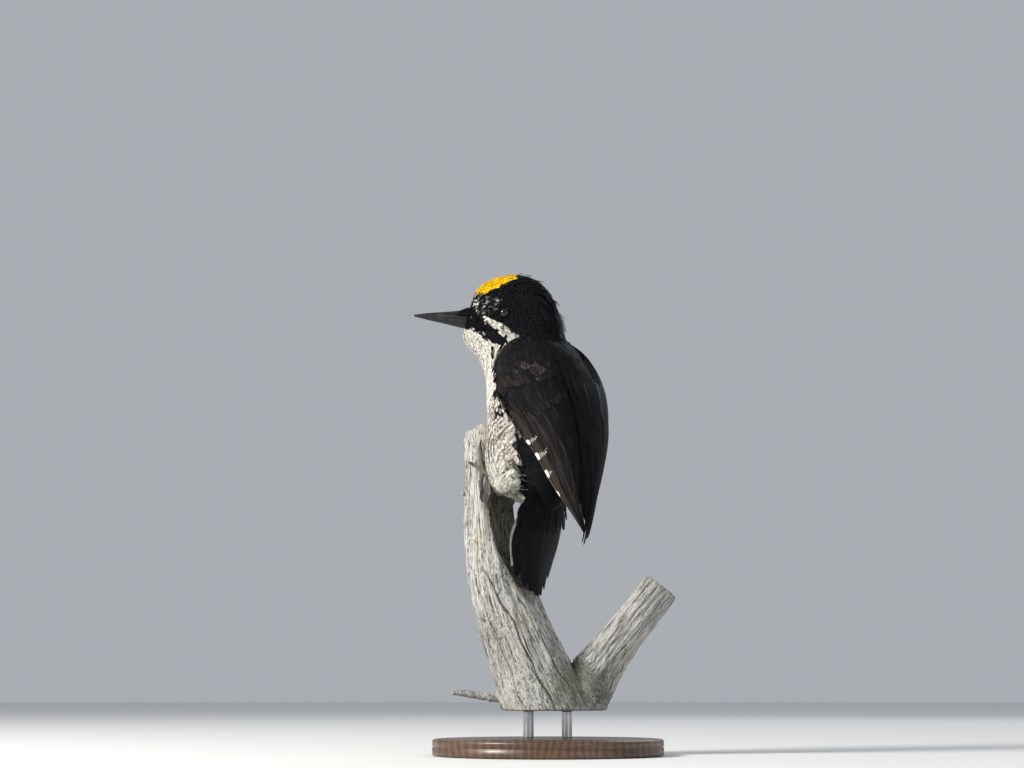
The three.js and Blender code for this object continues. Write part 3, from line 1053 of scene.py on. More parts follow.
def lay(surface: Surface, spine: Array, up: Array, half: Array, cut: Cut, roots: Roots, rng: Random,
        barred: bool = True) -> None:
    """Adds one vane along each middle line.

    Args:
        surface: Takes the vanes.
        spine: Lines, points on each, three numbers.
        up: The outward direction at each of those points.
        half: Widest half width of each vane.
        cut: Its outline.
        roots: Roots with the values of each vane; phase is a shift of its bars.
        rng: Random numbers.
        barred: Whether the bars of the body run on over the vanes.
    """
    n, rows = spine.shape[:2]
    steps = np.linspace(0, 1, rows)
    over = np.linspace(-1, 1, cut.columns)
    share = cut.share(steps)
    onward = unit(np.gradient(spine, axis=1))
    across = unit(np.cross(up, onward))
    width = half[:, None, None] * share[None, :, None] * over[None, None, :]
    drop = cut.camber * np.abs(width) * np.abs(over)
    length = np.linalg.norm(np.diff(spine, axis=1), axis=-1).sum(1)
    uneven = rng.uniform(-1, 1, (n, 1, cut.columns)) * cut.ragged * length[:, None, None]
    uneven = uneven * (steps**6)[None, :, None]
    points = (spine[:, :, None] + across[:, :, None] * width[..., None] - up[:, :, None] * drop[..., None]
        + onward[:, :, None] * uneven[..., None])
    phase = roots.values["phase"][:, None] + (MARKINGS.phase(spine) if barred else np.zeros((n, rows)))
    add_vanes(surface, points, (steps[:, None], over, rng.uniform(0, 1, n)[:, None, None]),
        length[:, None, None], roots.uv[:, None, None],
        marks=np.broadcast_to(roots.values["marks"][:, None, None], (n, rows, cut.columns, 4)),
        phase=np.repeat(phase[..., None], cut.columns, 2))


@dataclass(frozen=True)
class Coat:
    """How one kind of small feather grows: sizes in millimetres, angles in degrees.

    lift_root and lift_tip are heights over the form. strands is how many thin ones grow at each
    root as well, and half and spread are the half width and how far each may swing.
    """

    length: float
    half: float
    lift_root: float
    lift_tip: float
    cut: Cut = CONTOUR
    spread: float = 6.0
    strands: int = 0
    strand_half: float = 0.16
    strand_spread: float = 16.0

    def grow(self, surface: Surface, form: Form, roots: Roots, scale: Array, rng: Random) -> None:
        """Lays feathers of this kind at roots, and then its strands.

        Args:
            surface: Takes them.
            form: The shape they lie on.
            roots: Where they grow.
            scale: Size of each beside this coat's own.
            rng: Random numbers.
        """
        n = len(roots.at)
        _, normal = form.nearest(roots.at)
        lie = flat_on(roots.lie, normal)
        swing = np.radians(rng.normal(0, self.spread, n))[:, None]
        lie = lie * np.cos(swing) + np.cross(normal, lie) * np.sin(swing)
        turned = Roots(roots.at, lie, roots.uv, roots.values)
        length = self.length * scale * rng.uniform(0.88, 1.12, n)
        s = self.cut.steps
        spine, up = walked(form, turned, length, len(s))
        rise = blend(self.lift_root, self.lift_tip, np.sin(s * math.pi / 2) ** 0.8)
        rise = rise[None, :] * rng.uniform(0.8, 1.15, (n, 1)) * np.sqrt(scale)[:, None]
        spine = spine + up * rise[..., None]
        lay(surface, spine, up, self.half * scale * rng.uniform(0.85, 1.12, n), self.cut, turned, rng)
        if self.strands:
            several = roots.repeated(self.strands)
            side = unit(np.cross(several.lie, UP + 0.01))
            several.at = several.at + side * rng.normal(0, self.half * 0.5, (len(side), 1))
            size = np.repeat(scale, self.strands) * rng.uniform(0.7, 1.12, len(side))
            thin = replace(self, cut=STRAND, half=self.strand_half, spread=self.strand_spread, strands=0)
            thin.grow(surface, form, several, size, rng)


# --- flesh and skin


@dataclass(frozen=True)
class Flesh:
    """The outer form of head, neck and trunk.

    Each section is the ventral point and the dorsal point of the profile (forward, height), the
    half width, how far the widest part lies towards the back, and its share of the head's turn.
    """

    sections: Array = table((48.6, 213.5, 44.5, 224.5, 2.8, 0, 1), (49.2, 209.0, 42.6, 230.6, 6.6, 0, 1),
        (47.4, 204.5, 39.5, 238.3, 10.4, -0.05, 1), (43.4, 200.0, 30.0, 244.0, 13.0, 0, 1),
        (39.6, 195.5, 17.0, 245.8, 14.4, 0.04, 1), (37.5, 190.5, 5.0, 242.0, 15.4, 0.06, 0.97),
        (35.8, 184.5, -3.3, 232.5, 16.4, 0.06, 0.86), (35.8, 178.5, -8.4, 220.0, 17.8, 0.04, 0.65),
        (37.0, 172.0, -12.0, 207.0, 20.4, 0, 0.36), (38.0, 164.0, -18.5, 194.5, 22.8, 0, 0.12),
        (38.6, 153.5, -23.0, 179.0, 24.0, 0, 0), (38.8, 142.0, -24.5, 161.0, 24.2, -0.04, 0),
        (38.0, 130.0, -24.0, 143.0, 23.2, -0.08, 0), (33.5, 121.0, -19.5, 126.0, 20.5, -0.1, 0),
        (24.0, 116.0, -13.5, 114.0, 15.5, 0, 0), (13.0, 111.0, -7.0, 106.0, 9.5, 0, 0))
    head_depth: float = 1.1  # of the coat
    body_depth: float = 2.4
    tail_root: Triple = (-16.0, 0.0, 118.0)  # flank feathers sweep to it
    rings: int = 170
    around: int = 128

    def profile(self, t: Array, turn: Array, swell: Any = 0.0) -> tuple[Array, Array]:
        """Points before the head is turned, and the share of its turn that each takes.

        Args:
            t: Shares of the length.
            turn: Turns from the back.
            swell: How far out.

        Returns:
            The places and the shares.
        """
        ventral_x, ventral_z, dorsal_x, dorsal_z, half, skew, share = np.moveaxis(along(self.sections, t),
            -1, 0)
        reach_x, reach_z = (dorsal_x - ventral_x) / 2, (dorsal_z - ventral_z) / 2
        reach = np.hypot(reach_x, reach_z)
        grown = (reach + swell) / reach
        back = np.cos(turn)
        side = (half + swell) * np.sin(turn) * (1 + 2 * skew * back)
        forward = (ventral_x + dorsal_x) / 2 + reach_x * grown * back
        height = (ventral_z + dorsal_z) / 2 + reach_z * grown * back
        return np.stack([forward, side, height], -1), share

    def section(self, t: Array) -> Array:
        """The number of the section at a share of the length."""
        return t * (len(self.sections) - 1)

    def point(self, t: Array, turn: Array, swell: Any = 0.0) -> Array:
        """Points of the outer form at a share of its length and a turn from the back."""
        points, share = self.profile(t, turn, swell)
        return spun(points, STANCE.head_turn * share, (STANCE.neck_axis, 0))

    def depth(self, t: Array) -> Array:
        """The coat's depth at a share of the length."""
        return blend(self.head_depth, self.body_depth, ease(0.38, 0.62, t)) + 0.9 * ease(0.12, 0.0, t)

    def closed(self, swell: Callable | float) -> tuple:
        """A closed skin; swell is how far out, as a number or a function of the length."""
        t, turn = np.meshgrid(np.linspace(0, 1, self.rings), circle(self.around), indexing="ij")
        return lofted(self.point(t, turn, swell(t) if callable(swell) else swell))

    def candidates(self, count: int, span: Pair, rng: Random, swell: float = 0.0) -> tuple[Array, Array]:
        """Random places on the form, evenly spread over its area.

        Args:
            count: How many.
            span: Shares of the length between which they lie.
            rng: Random numbers.
            swell: How far out the area is measured.

        Returns:
            The share of the length and the turn of each.
        """
        cells = 90
        t, turn = np.meshgrid(np.linspace(*span, cells + 1), np.linspace(-math.pi, math.pi, cells + 1),
            indexing="ij")
        p = self.point(t, turn, swell)
        sides = np.cross(p[1:, :-1] - p[:-1, :-1], p[:-1, 1:] - p[:-1, :-1])
        area = np.linalg.norm(sides, axis=-1).ravel()
        cell = rng.choice(cells * cells, count, p=area / area.sum())
        i, j = np.divmod(cell, cells)
        i, j = i + rng.uniform(0, 1, count), j + rng.uniform(0, 1, count)
        return blend(span[0], span[1], i / cells), blend(-math.pi, math.pi, j / cells)


FLESH = Flesh()


@dataclass(frozen=True)
class Markings:
    """Where the male's coat is white, golden or barred, in the profile of the unturned head."""

    crown_front: Pair = (34.0, 233.2)
    crown_slope: float = 0.55
    crown_back: float = 17.2
    bar_step: float = 2.7
    # sections down the body: how far round from the back its white begins, in degrees
    edge: Array = table((6, 8, 10, 11.7, 12.5, 13, 13.6, 14.2, 15), (99, 90, 87, 93, 96, 92, 86, 94, 130))
    # forward, height and half width of the stripe under the eye, from the neck to the gape
    stripe: Array = table((7.0, 8.8, 12.9, 17.5, 22.1, 26.7, 31.3, 35.0, 37.5),
        (205.4, 205.2, 205.2, 206.0, 208.9, 211.9, 214.6, 217.2, 219.0),
        (0.8, 1.1, 1.2, 1.5, 2.2, 2.4, 2.2, 1.4, 0.0))
    # forward and height of the upper edge of the white throat
    malar: Array = table((14.0, 18.0, 22.0, 28.6, 32.2, 36.8, 40.5, 47.0),
        (202.8, 202.3, 201.8, 201.8, 203.6, 206.4, 209.0, 212.2))

    def under_eye(self, profile: Array) -> Array:
        """The white stripe from the gape back under the eye and down the side of the neck.

        Args:
            profile: Forward, side and height of places on the unturned head.

        Returns:
            The mask, 0 to 1.
        """
        x, _, z = np.moveaxis(profile, -1, 0)
        wobble, coarse = ripple(profile, 4.0, 3) * 0.4, ripple(profile, 1.6, 4)
        middle = np.interp(x, self.stripe[0], self.stripe[1])
        wide = np.interp(x, self.stripe[0], self.stripe[2])
        return ease(0.7, -0.7, np.abs(z - middle) - wide + wobble) * (0.66 + 0.20 * coarse)

    def head(self, profile: Array) -> tuple[Array, Array]:
        """How white and how golden the head is.

        Args:
            profile: Forward, side and height of places on the unturned head.

        Returns:
            The two masks, 0 to 1.
        """
        x, y, z = np.moveaxis(profile, -1, 0)
        wobble = ripple(profile, 4.0, 3) * 0.4
        coarse = ripple(profile, 1.6, 4)
        crown = self.crown_front[1] + self.crown_slope * np.maximum(self.crown_front[0] - x, 0)
        golden = ease(-0.6, 0.6, z - crown + wobble) * ease(self.crown_back, self.crown_back + 2, x)
        golden = golden * ease(42.0, 40.0, x)
        # dark mottled stripe below it, and white under that
        low = np.interp(x, self.malar[0], self.malar[1])
        throat = ease(0.8, -0.8, z - low + wobble) * ease(-2, 6, x)
        streaks = 0.55 * ease(0.6, 1.4, coarse + wobble) * ease(4.0, 1.5, np.abs(z - low - 2))
        lore = 0.62 * ease(1.8, 0.7, np.hypot((x - 41.6) / 1.6, z - 226.4) + wobble)
        away = np.hypot((x - 38.0) / 1.5, (z - 221.8 - (x - 38.0) * 1.3) * 0.9)
        mottled = ease(5.6, 3.0, away) * (0.40 + 0.05 * coarse)
        brow = (0.33 + 0.05 * coarse) * ease(7.5, 4.5, np.hypot((x - 33) / 1.5, z - 225.5))
        frost = (0.38 + 0.05 * coarse) * ease(5.0, 3.0, np.hypot(x - 40.0, (z - 230.2) / 1.2))
        grizzled = np.maximum.reduce([lore, mottled, brow, frost]) * ease(0, 5, np.abs(y))
        streaks = streaks * ease(20, 26, x)
        return np.maximum.reduce([self.under_eye(profile), throat, streaks, grizzled]), golden

    def at(self, t: Array, turn: Array) -> dict[str, Array]:
        """The values of the coat at places on the flesh.

        Args:
            t: Shares of the length.
            turn: Turns from the back.

        Returns:
            The marks and the phase.
        """
        profile, _ = FLESH.profile(t, turn)
        section = FLESH.section(t)
        round_body = np.degrees(np.abs(turn))
        wobble = ripple(profile, 12.0, 5) * 4
        head_white, golden = self.head(profile)
        edge = np.interp(section, self.edge[0], self.edge[1])
        body_white = ease(-7, 5, round_body + wobble - edge)
        body = ease(5.6, 6.6, section + (round_body - 90) / 90)
        white = np.maximum(blend(head_white, body_white, body), self.under_eye(profile) * (section < 8))
        scaly = ease(6.0, 6.6, section) * ease(10.8, 9.6, section) * ease(98, 106, round_body)
        scaly = scaly * ease(128, 116, round_body)
        white = white * (1 - scaly * ease(-0.3, 0.1, ripple(profile, 1.3, 6)))
        sides = ease(edge - 4, edge + 6, round_body) * ease(158, 134, round_body)
        barred = sides * ease(7.4, 9.4, section) * blend(1.0, 0.45, ease(10.6, 12.4, section))
        barred = np.maximum(barred, 0.4 * ease(12.4, 13.4, section))
        barred = np.maximum(barred, 0.7 * ease(126, 104, round_body) * ease(6.2, 7.2, section))
        return {"marks": marked(white, golden, barred * 0.85), "phase": ripple(profile, 3.0, 8) * 0.16}

    def phase(self, points: Array) -> Array:
        """The number of bars between places and the root of the tail."""
        away = np.linalg.norm(points - np.array(FLESH.tail_root), axis=-1)
        return away / self.bar_step + ripple(points, 16.0, 8) * 0.22


MARKINGS = Markings()


def flesh_roots(t: Array, turn: Array, ahead: Any = 0.0, swell: float = 0.0) -> Roots:
    """Roots on the flesh.

    Args:
        t: Shares of its length.
        turn: Turns from the back.
        ahead: How far along the coat the colours are read, where each feather is seen.
        swell: How far out they stand.

    Returns:
        The roots.
    """
    step = 0.004  # of the length, to each side
    at = FLESH.point(t, turn, swell)
    onward = unit(FLESH.point(t + step, turn, swell) - FLESH.point(t - step, turn, swell))
    sweep = unit(np.array(FLESH.tail_root) - at)
    flank = ease(0.52, 0.74, t) * ease(40, 80, np.degrees(np.abs(turn)))
    lie = unit(blend(onward, sweep, flank[:, None] * 0.85))
    uv = np.stack([0.5 + turn / (2 * math.pi) * 0.98, 0.01 + t * 0.98], -1)
    pace = np.linalg.norm(FLESH.point(t + step, turn) - FLESH.point(t - step, turn), axis=-1) / (2 * step)
    return Roots(at, lie, uv, MARKINGS.at(t + ahead / pace, turn))


@dataclass
class Body:
    """The skin of head, neck, trunk and thighs, and the coat over it."""

    eyes: "Eyes"
    skin_cell: float = 0.8
    thighs: tuple[str, ...] = ("thigh_left", "thigh_right")
    # how many places are tried, and the shares of the flesh's length between which they lie
    head_tries: int = 26000
    body_tries: int = 30000
    thigh_tries: int = 2600
    head_span: Pair = (0.0, 0.56)
    body_span: Pair = (0.50, 0.985)
    # how far from an eye's axis feathers start, end short and never end
    eye_clear: Triple = (3.5, 3.3, 2.9)
    bill_root: Triple = (40, 5.2, 6.4)  # forward, and half its width and height
    bill_height: float = 218.6
    # the head's smooth face, soft throat, golden crown and ragged nape
    face: Coat = Coat(3.6, 1.05, 0.15, 1.25, SMALL, spread=8)
    fluff: Coat = Coat(4.4, 0.8, 0.15, 1.35, SMALL, 12, strands=3, strand_half=0.11)
    crest: Coat = Coat(4.2, 0.7, 0.2, 1.5, SMALL, 9, strands=2, strand_half=0.12)
    ragged: Coat = Coat(5.6, 0.55, 0.5, 3.2, SMALL, 14)
    # barred flanks, downy belly, black back and short thighs
    flank: Coat = Coat(7.6, 1.75, 0.3, 2.0, CONTOUR, 6, strands=2, strand_half=0.16, strand_spread=9)
    down: Coat = Coat(9.0, 1.3, 0.4, 2.6, CONTOUR, 10, strands=5, strand_half=0.15, strand_spread=16)
    mantle: Coat = Coat(8.8, 2.7, 0.2, 1.6, CONTOUR, 5)
    short: Coat = Coat(4.2, 0.95, 0.15, 1.2, SMALL, 10, strands=2, strand_half=0.13)
    # sections, and how far apart feathers stand or how big they are there
    head_gaps: Array = table((0, 2, 4, 7, 8.5), (0.62, 0.75, 0.95, 1.15, 1.35))
    head_sizes: Array = table((0, 1.5, 3, 5, 7, 8.5), (0.42, 0.55, 0.75, 1.0, 1.25, 1.5))
    body_gaps: Array = table((7, 9, 11, 15), (1.15, 1.42, 1.55, 1.65))
    body_sizes: Array = table((7, 9, 11, 13, 15), (0.62, 0.9, 1.0, 1.05, 0.95))

    def __post_init__(self) -> None:
        """Builds the skin's form."""
        parts = [FLESH.closed(lambda t: -FLESH.depth(t))]
        for name in self.thighs:
            parts.append(self.cad_solid(name, -1.2))
        points, faces = remeshed(parts, self.skin_cell, 6)
        self.form = Form(points, faces)
        self.rng = np.random.default_rng(SEED)

    @staticmethod
    def cad_solid(name: str, swell: float) -> tuple[Array, Array]:
        """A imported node's points, in the bird's frame and grown by swell, and its faces.

        Args:
            name: The node.
            swell: How far it is grown.

        Returns:
            Points and faces.
        """
        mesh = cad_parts[name].data
        mesh.calc_loop_triangles()
        rounded = np.round(read(mesh.vertices, "co", 3), 7)
        points, merged = np.unique(rounded, axis=0, return_inverse=True)
        faces = merged.ravel()[read(mesh.loop_triangles, "vertices", 3, np.int32)]
        faces = faces[(faces != faces[:, (1, 2, 0)]).all(1)]
        points = STANCE.to_bird(points / MM)
        return points + vertex_normals(points, faces) * swell, faces

    def marked_skin(self, roots: Roots, material: Material) -> Any:
        """The skin, with the marks of the nearest roots.

        Args:
            roots: Roots with marks.
            material: The skin's finish.

        Returns:
            The object.
        """
        tree = tree_of(roots.at)
        near = np.array([tree.find(p)[1] for p in self.form.points.tolist()])
        values = bare(len(self.form.points))
        values |= {"marks": roots.values["marks"][near], "phase": MARKINGS.phase(self.form.points)}
        return one_piece("skin", material, self.form.points, self.form.faces, **values)

    def scattered(self, count: int, span: Pair, gaps: Array) -> tuple:
        """Random places on the flesh that keep apart.

        Args:
            count: How many are tried.
            span: Shares of the length between which they lie.
            gaps: Sections, and how far apart at each.

        Returns:
            Shares of the length, and turns.
        """
        t, turn = FLESH.candidates(count, span, self.rng)
        kept = thinned(FLESH.point(t, turn), np.interp(FLESH.section(t), *gaps))
        return t[kept], turn[kept]

    def head_roots(self) -> tuple[Roots, Array, Array, Array]:
        """Roots of the head's coat with the size, section and turn of each.

        Returns:
            The roots and those three.
        """
        t, turn = self.scattered(self.head_tries, self.head_span, self.head_gaps)
        profile, _ = FLESH.profile(t, turn)
        # the bill's root and the eyes stay bare
        forward, half, tall = self.bill_root
        bill = (profile[:, 0] > forward) & (np.abs(profile[:, 1]) < half)
        bill = bill & (np.abs(profile[:, 2] - self.bill_height) < tall)
        clear = ~bill & (self.eyes.off_axis(FLESH.point(t, turn)) > self.eye_clear[0])
        t, turn = t[clear], turn[clear]
        size = np.interp(FLESH.section(t), *self.head_sizes)
        roots = flesh_roots(t, turn, 2.0 * size)
        mixed = np.where(np.abs(turn) < 2.06, self.rng.uniform(0.55, 1.25, len(t)), 1.0)
        roots.values["marks"][:, 0] *= mixed
        return roots, size, FLESH.section(t), turn

    def dress_head(self, material: Material) -> tuple[Any, Roots]:
        """The head's small feathers, and their roots.

        Args:
            material: Their finish.

        Returns:
            The object and the roots.
        """
        roots, size, section, turn = self.head_roots()
        tip = roots.at + roots.lie * (self.face.length * size)[:, None]
        near_eye = self.eyes.off_axis(tip) < self.eye_clear[1]
        size = np.where(near_eye, size * 0.4, size)
        tip = roots.at + roots.lie * (self.face.length * size)[:, None]
        clear = self.eyes.off_axis(tip) > self.eye_clear[2]
        roots, size, section, turn = roots.only(clear), size[clear], section[clear], turn[clear]
        surface = Surface()
        ventral = np.abs(turn) > math.radians(118)
        soft = (roots.values["marks"][:, 0] > 0.5) & (ventral | (section > 3))
        golden = roots.values["marks"][:, 1] > 0.5
        kinds = ((self.face, ~soft & ~golden, 1.0), (self.fluff, soft, 1.0), (self.crest, golden, 1.05))
        for coat, picked, larger in kinds:
            coat.grow(surface, self.form, roots.only(picked), size[picked] * larger, self.rng)
        nape = (self.rng.uniform(0, 1, len(size)) < 0.06) & (np.abs(turn) < 0.8) & (section > 4)
        self.ragged.grow(surface, self.form, roots.only(nape), size[nape], self.rng)
        return surface.made("coat_head", material), roots

    def dress_body(self, material: Material) -> tuple[list[Any], Roots]:
        """The coat of neck, back, flanks and belly, and its roots.

        Args:
            material: Their finish.

        Returns:
            The objects and the roots.
        """
        t, turn = self.scattered(self.body_tries, self.body_span, self.body_gaps)
        roots, section = flesh_roots(t, turn, 4.0), FLESH.section(t)
        size = np.interp(section, *self.body_sizes)
        front = np.abs(turn) > math.radians(86)
        downy = front & (section > 10.6) & (np.abs(turn) > math.radians(112))
        belly, back = Surface(), Surface()
        kinds = ((belly, self.flank, front & ~downy), (belly, self.down, downy), (back, self.mantle, ~front))
        for surface, coat, picked in kinds:
            coat.grow(surface, self.form, roots.only(picked), size[picked], self.rng)
        return [belly.made("coat_belly", material), back.made("coat_back", material)], roots

    def dress_thighs(self, material: Material) -> Any:
        """Short barred feathers down the thighs to the ankles.

        Args:
            material: Their finish.

        Returns:
            The object.
        """
        surface = Surface()
        for name in self.thighs:
            points, faces = self.cad_solid(name, -1.0)
            centres = points[faces].mean(1)
            low, high = points.min(0), points.max(0)
            picks = self.rng.integers(0, len(faces), self.thigh_tries)
            corner = self.rng.dirichlet((1, 1, 1), self.thigh_tries)
            at = np.einsum("ij,ijk->ik", corner, points[faces[picks]])
            spot, _ = self.form.nearest(at)
            at = at[np.linalg.norm(spot - at, axis=1) < 0.9]
            at = at[thinned(at, np.full(len(at), 1.15))]
            onward = unit(np.tile((11.0, 0.5 * np.sign(centres[:, 1].mean()), -9.5), (len(at), 1)))
            share = (at - low) / (high - low)
            values = {"marks": marked(np.full(len(at), 0.95), 0.0, 0.3),
                "phase": self.rng.uniform(-0.1, 0.1, len(at))}
            uv = np.stack([0.02 + share[:, 0] * 0.9, 0.02 + share[:, 2] * 0.9], -1)
            self.short.grow(surface, self.form, Roots(at, onward, uv, values), np.ones(len(at)), self.rng)
        return surface.made("coat_thighs", material)


# --- eyes and bill


@dataclass
class Eyes:
    """Eyeballs at their packed places, with lids that close round them."""

    long: float = 2.95  # half length of the opening
    tall: float = 2.5
    outward: Triple = (0.20, 1.0, 0.06)  # the left eye's way of looking
    sunk: float = 0.12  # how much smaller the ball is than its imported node
    cornea: float = 0.22  # how much fuller it is at the front
    rings: int = 40
    around: int = 56
    # the lid: how far out from the opening, and how far over the ball
    lid: tuple[Pair, ...] = ((-0.10, -0.06), (-0.04, 0.16), (0.10, 0.32), (0.32, 0.36), (0.55, 0.22),
        (0.8, 0.10), (1.15, -0.35), (1.6, -1.5))
    lid_around: int = 72

    def __post_init__(self) -> None:
        """Finds the middle, radius and axes of each eye."""
        self.sides = {}
        for name, side in (("eye_left", 1), ("eye_right", -1)):
            low, high = box_of(name)
            middle = STANCE.to_bird((low + high) / 2)
            x, y, z = self.outward
            looks = unit(spun(np.array((x, y * side, z)), STANCE.head_turn))
            back = flat_on(spun(np.array((-1.0, 0.0, 0.12)), STANCE.head_turn), looks)
            over = np.cross(looks, back) * (1 if np.cross(looks, back)[2] > 0 else -1)
            self.sides[name] = (middle, (high - low).max() / 2, looks, back, over)

    def off_axis(self, points: Array) -> Array:
        """The distance of points from the nearer eye's axis, long way of the opening made even.

        Args:
            points: Places, three numbers each.

        Returns:
            The distances.
        """
        ways = []
        for middle, _, looks, back, over in self.sides.values():
            away = points - middle
            outside = np.where(away @ looks > 0, 0.0, 50.0)
            ways.append(np.hypot((away @ back) / 1.1, (away @ over) / 0.95) + outside)
        return np.minimum(*ways)

    def build(self, gloss: Material) -> list[Any]:
        """The two eyeballs, a little fuller at the front.

        Args:
            gloss: Their finish.

        Returns:
            The objects.
        """
        made = []
        for name, (middle, radius, looks, back, over) in self.sides.items():
            polar = np.linspace(0.02, 1, self.rings) ** 0.8 * math.pi * 0.995
            turn = circle(self.around)
            cornea = self.cornea * ease(0.9, 0.0, polar)
            reach = (radius - self.sunk) * np.sin(polar)
            ring = back * np.cos(turn)[:, None] + over * np.sin(turn)[:, None]
            height = (radius - self.sunk) * np.cos(polar) + cornea
            rings = middle + ring[None] * reach[:, None, None] + looks * height[:, None, None]
            points, faces = lofted(rings)
            front = np.where(polar < math.pi / 2, reach / self.long, 1.5)
            out = np.concatenate([np.repeat(front, self.around), (0.0, 1.5)])
            made.append(one_piece(f"{name}_ball", gloss, points, faces, out=out))
        return made

    def dress(self, material: Material) -> Any:
        """The lids: a soft rolled rim round each opening that sinks into the face.

        Args:
            material: Their finish.

        Returns:
            The object.
        """
        surface = Surface()
        turn = circle(self.lid_around)
        opening = np.hypot(self.long * np.cos(turn), self.tall * np.sin(turn))
        opening = opening * (1 + 0.05 * np.cos(turn) ** 8)
        count = len(self.lid) * len(turn)
        for middle, radius, looks, back, over in self.sides.values():
            ring = back * np.cos(turn)[:, None] + over * np.sin(turn)[:, None]
            rings = []
            for out, lift in self.lid:
                reach = opening + out
                ball = np.sqrt(np.maximum(radius**2 - np.minimum(reach, 3.62) ** 2, 0))
                crease = 0.05 * np.sin(9 * turn + out * 4)
                height = ball + lift + crease * (out > 0.2)
                rings.append(middle + ring * reach[:, None] + looks * height[:, None])
            surface.add(np.array(rings), sheet_faces(len(self.lid), len(turn), closed=True)[:, ::-1],
                **bare(count, 3.0))
        return surface.made("eyelids", material)


@dataclass(frozen=True)
class Bill:
    """The straight chisel bill.

    Each section is the way forward, the height of the line between the mandibles, the ridge
    over it, the keel under it and the half width.
    """

    sections: Array = table((34.0, 216.0, 7.9, 5.0, 5.8), (44.0, 218.4, 7.0, 5.1, 5.2),
        (53.5, 219.8, 4.8, 4.1, 4.2), (62.0, 220.9, 3.2, 2.9, 3.1), (70.5, 221.8, 1.9, 1.7, 2.0),
        (78.6, 222.6, 0.5, 0.5, 0.6))
    gap: float = 0.12
    bristles: int = 300  # over each nostril
    chin_bristles: int = 70
    steps: int = 90
    arcs: int = 40

    def mandible(self, name: str, over: int, horn: Material) -> Any:
        """One mandible: over is 1 for the upper one and -1 for the lower.

        Args:
            name: The object's name.
            over: 1 for the upper one and -1 for the lower.
            horn: The horn's finish.

        Returns:
            The object.
        """
        t = np.linspace(0, 1, self.steps)
        forward, line, ridge, keel, half = np.moveaxis(along(self.sections, t), -1, 0)[..., None]
        turn = np.linspace(0, math.pi, self.arcs)[None]
        rise = ridge if over > 0 else keel
        fine = ease(1.0, 0.75, t)[:, None]
        height = rise * np.sin(turn) ** 0.85
        # a narrow ridge on top, hollow sides below it, and a second ridge over each nostril
        crest = 0.30 * np.exp(-(((turn - math.pi / 2) / 0.13) ** 2)) * fine
        hollow = 0.35 * np.sin(turn * 2) ** 2 * fine * (0.7 if over > 0 else 0.4)
        shoulder = 0.22 * np.exp(-(((np.abs(turn - math.pi / 2) - 0.75) / 0.12) ** 2)) * ease(0.75, 0.2,
            t)[:, None]
        height = height + crest - hollow * np.sin(turn) + (shoulder if over > 0 else 0)
        side = half * np.cos(turn) * (1 - 0.05 * np.sin(turn * 2) ** 2)
        nostril = np.exp(-(((t[:, None] - 0.36) / 0.05) ** 2)
            - (((np.abs(turn - math.pi / 2) - 0.98) / 0.13) ** 2))
        side = side - np.sign(np.cos(turn)) * nostril * (0.9 if over > 0 else 0)
        arc = np.stack(np.broadcast_arrays(forward, side, line + over * (self.gap / 2 + height)), -1)
        inner = np.linspace(-1, 1, 10)[None, 1:-1]
        floor = np.stack(np.broadcast_arrays(forward, half * inner, line + over * self.gap / 2), -1)
        rings = np.concatenate([arc, floor], 1)
        points, faces = lofted(STANCE.head(rings))
        return one_piece(name, horn, points, faces if over > 0 else faces[:, ::-1])

    def build(self, horn: Material) -> dict[str, Any]:
        """Both mandibles by the node that each stands for."""
        return {"bill_upper": self.mandible("mandible_upper", 1, horn),
            "bill_lower": self.mandible("mandible_lower", -1, horn)}

    def dress(self, material: Material, rng: Random) -> Any:
        """Bristly tufts that lie forward over the nostrils, and finer ones at the chin.

        Args:
            material: Their finish.
            rng: Random numbers.

        Returns:
            The object.
        """
        surface = Surface()
        first, last = self.sections[[0, -1], 0]
        for side in (1, -1):
            for over, n in ((1, self.bristles), (-1, self.chin_bristles)):
                t = rng.uniform(0.10, 0.27 if over > 0 else 0.2, n)
                turn = rng.uniform(0.12 if over > 0 else 0.6, 0.98, n) * math.pi / 2
                s = np.linspace(0, 1, len(STRAND.outline) + 2)[None]
                length = rng.uniform(4.5, 8.0, n)[:, None] * (1.1 - 0.5 * turn[:, None] / math.pi * 2)
                onward = along(self.sections, t)[:, :1] + length * s * (1 if over > 0 else 0.6)
                _, line, ridge, keel, half = np.moveaxis(
                    along(self.sections, (onward - first) / (last - first)), -1, 0)
                lift = blend(1.5, 0.3, s) * rng.uniform(0.6, 1.2, (n, 1))
                up = np.stack(np.broadcast_arrays(0 * s, side * np.cos(turn)[:, None],
                    over * np.sin(turn)[:, None]), -1)
                rise = (ridge if over > 0 else keel) + lift
                spine = np.stack([onward, side * (half + lift) * np.cos(turn)[:, None],
                    line + over * rise * np.sin(turn)[:, None] ** 0.85], -1)
                spine, up = STANCE.head(spine), spun(up, STANCE.head_turn)
                white = np.clip(rng.normal(0.05, 0.14, n), 0, 0.4) if over > 0 else rng.uniform(0.2, 0.9, n)
                values = {"marks": marked(white), "phase": np.zeros(n)}
                uv = np.stack([0.5 + side * turn * 0.05, 0.01 + t * 0.1 + 0.04 * (over < 0)], -1)
                roots = Roots(spine[:, 0], spine[:, 1] - spine[:, 0], uv, values)
                lay(surface, spine, up, np.full(n, 0.24), STRAND, roots, rng)
        return surface.made("nasal_tufts", material)


# --- wings


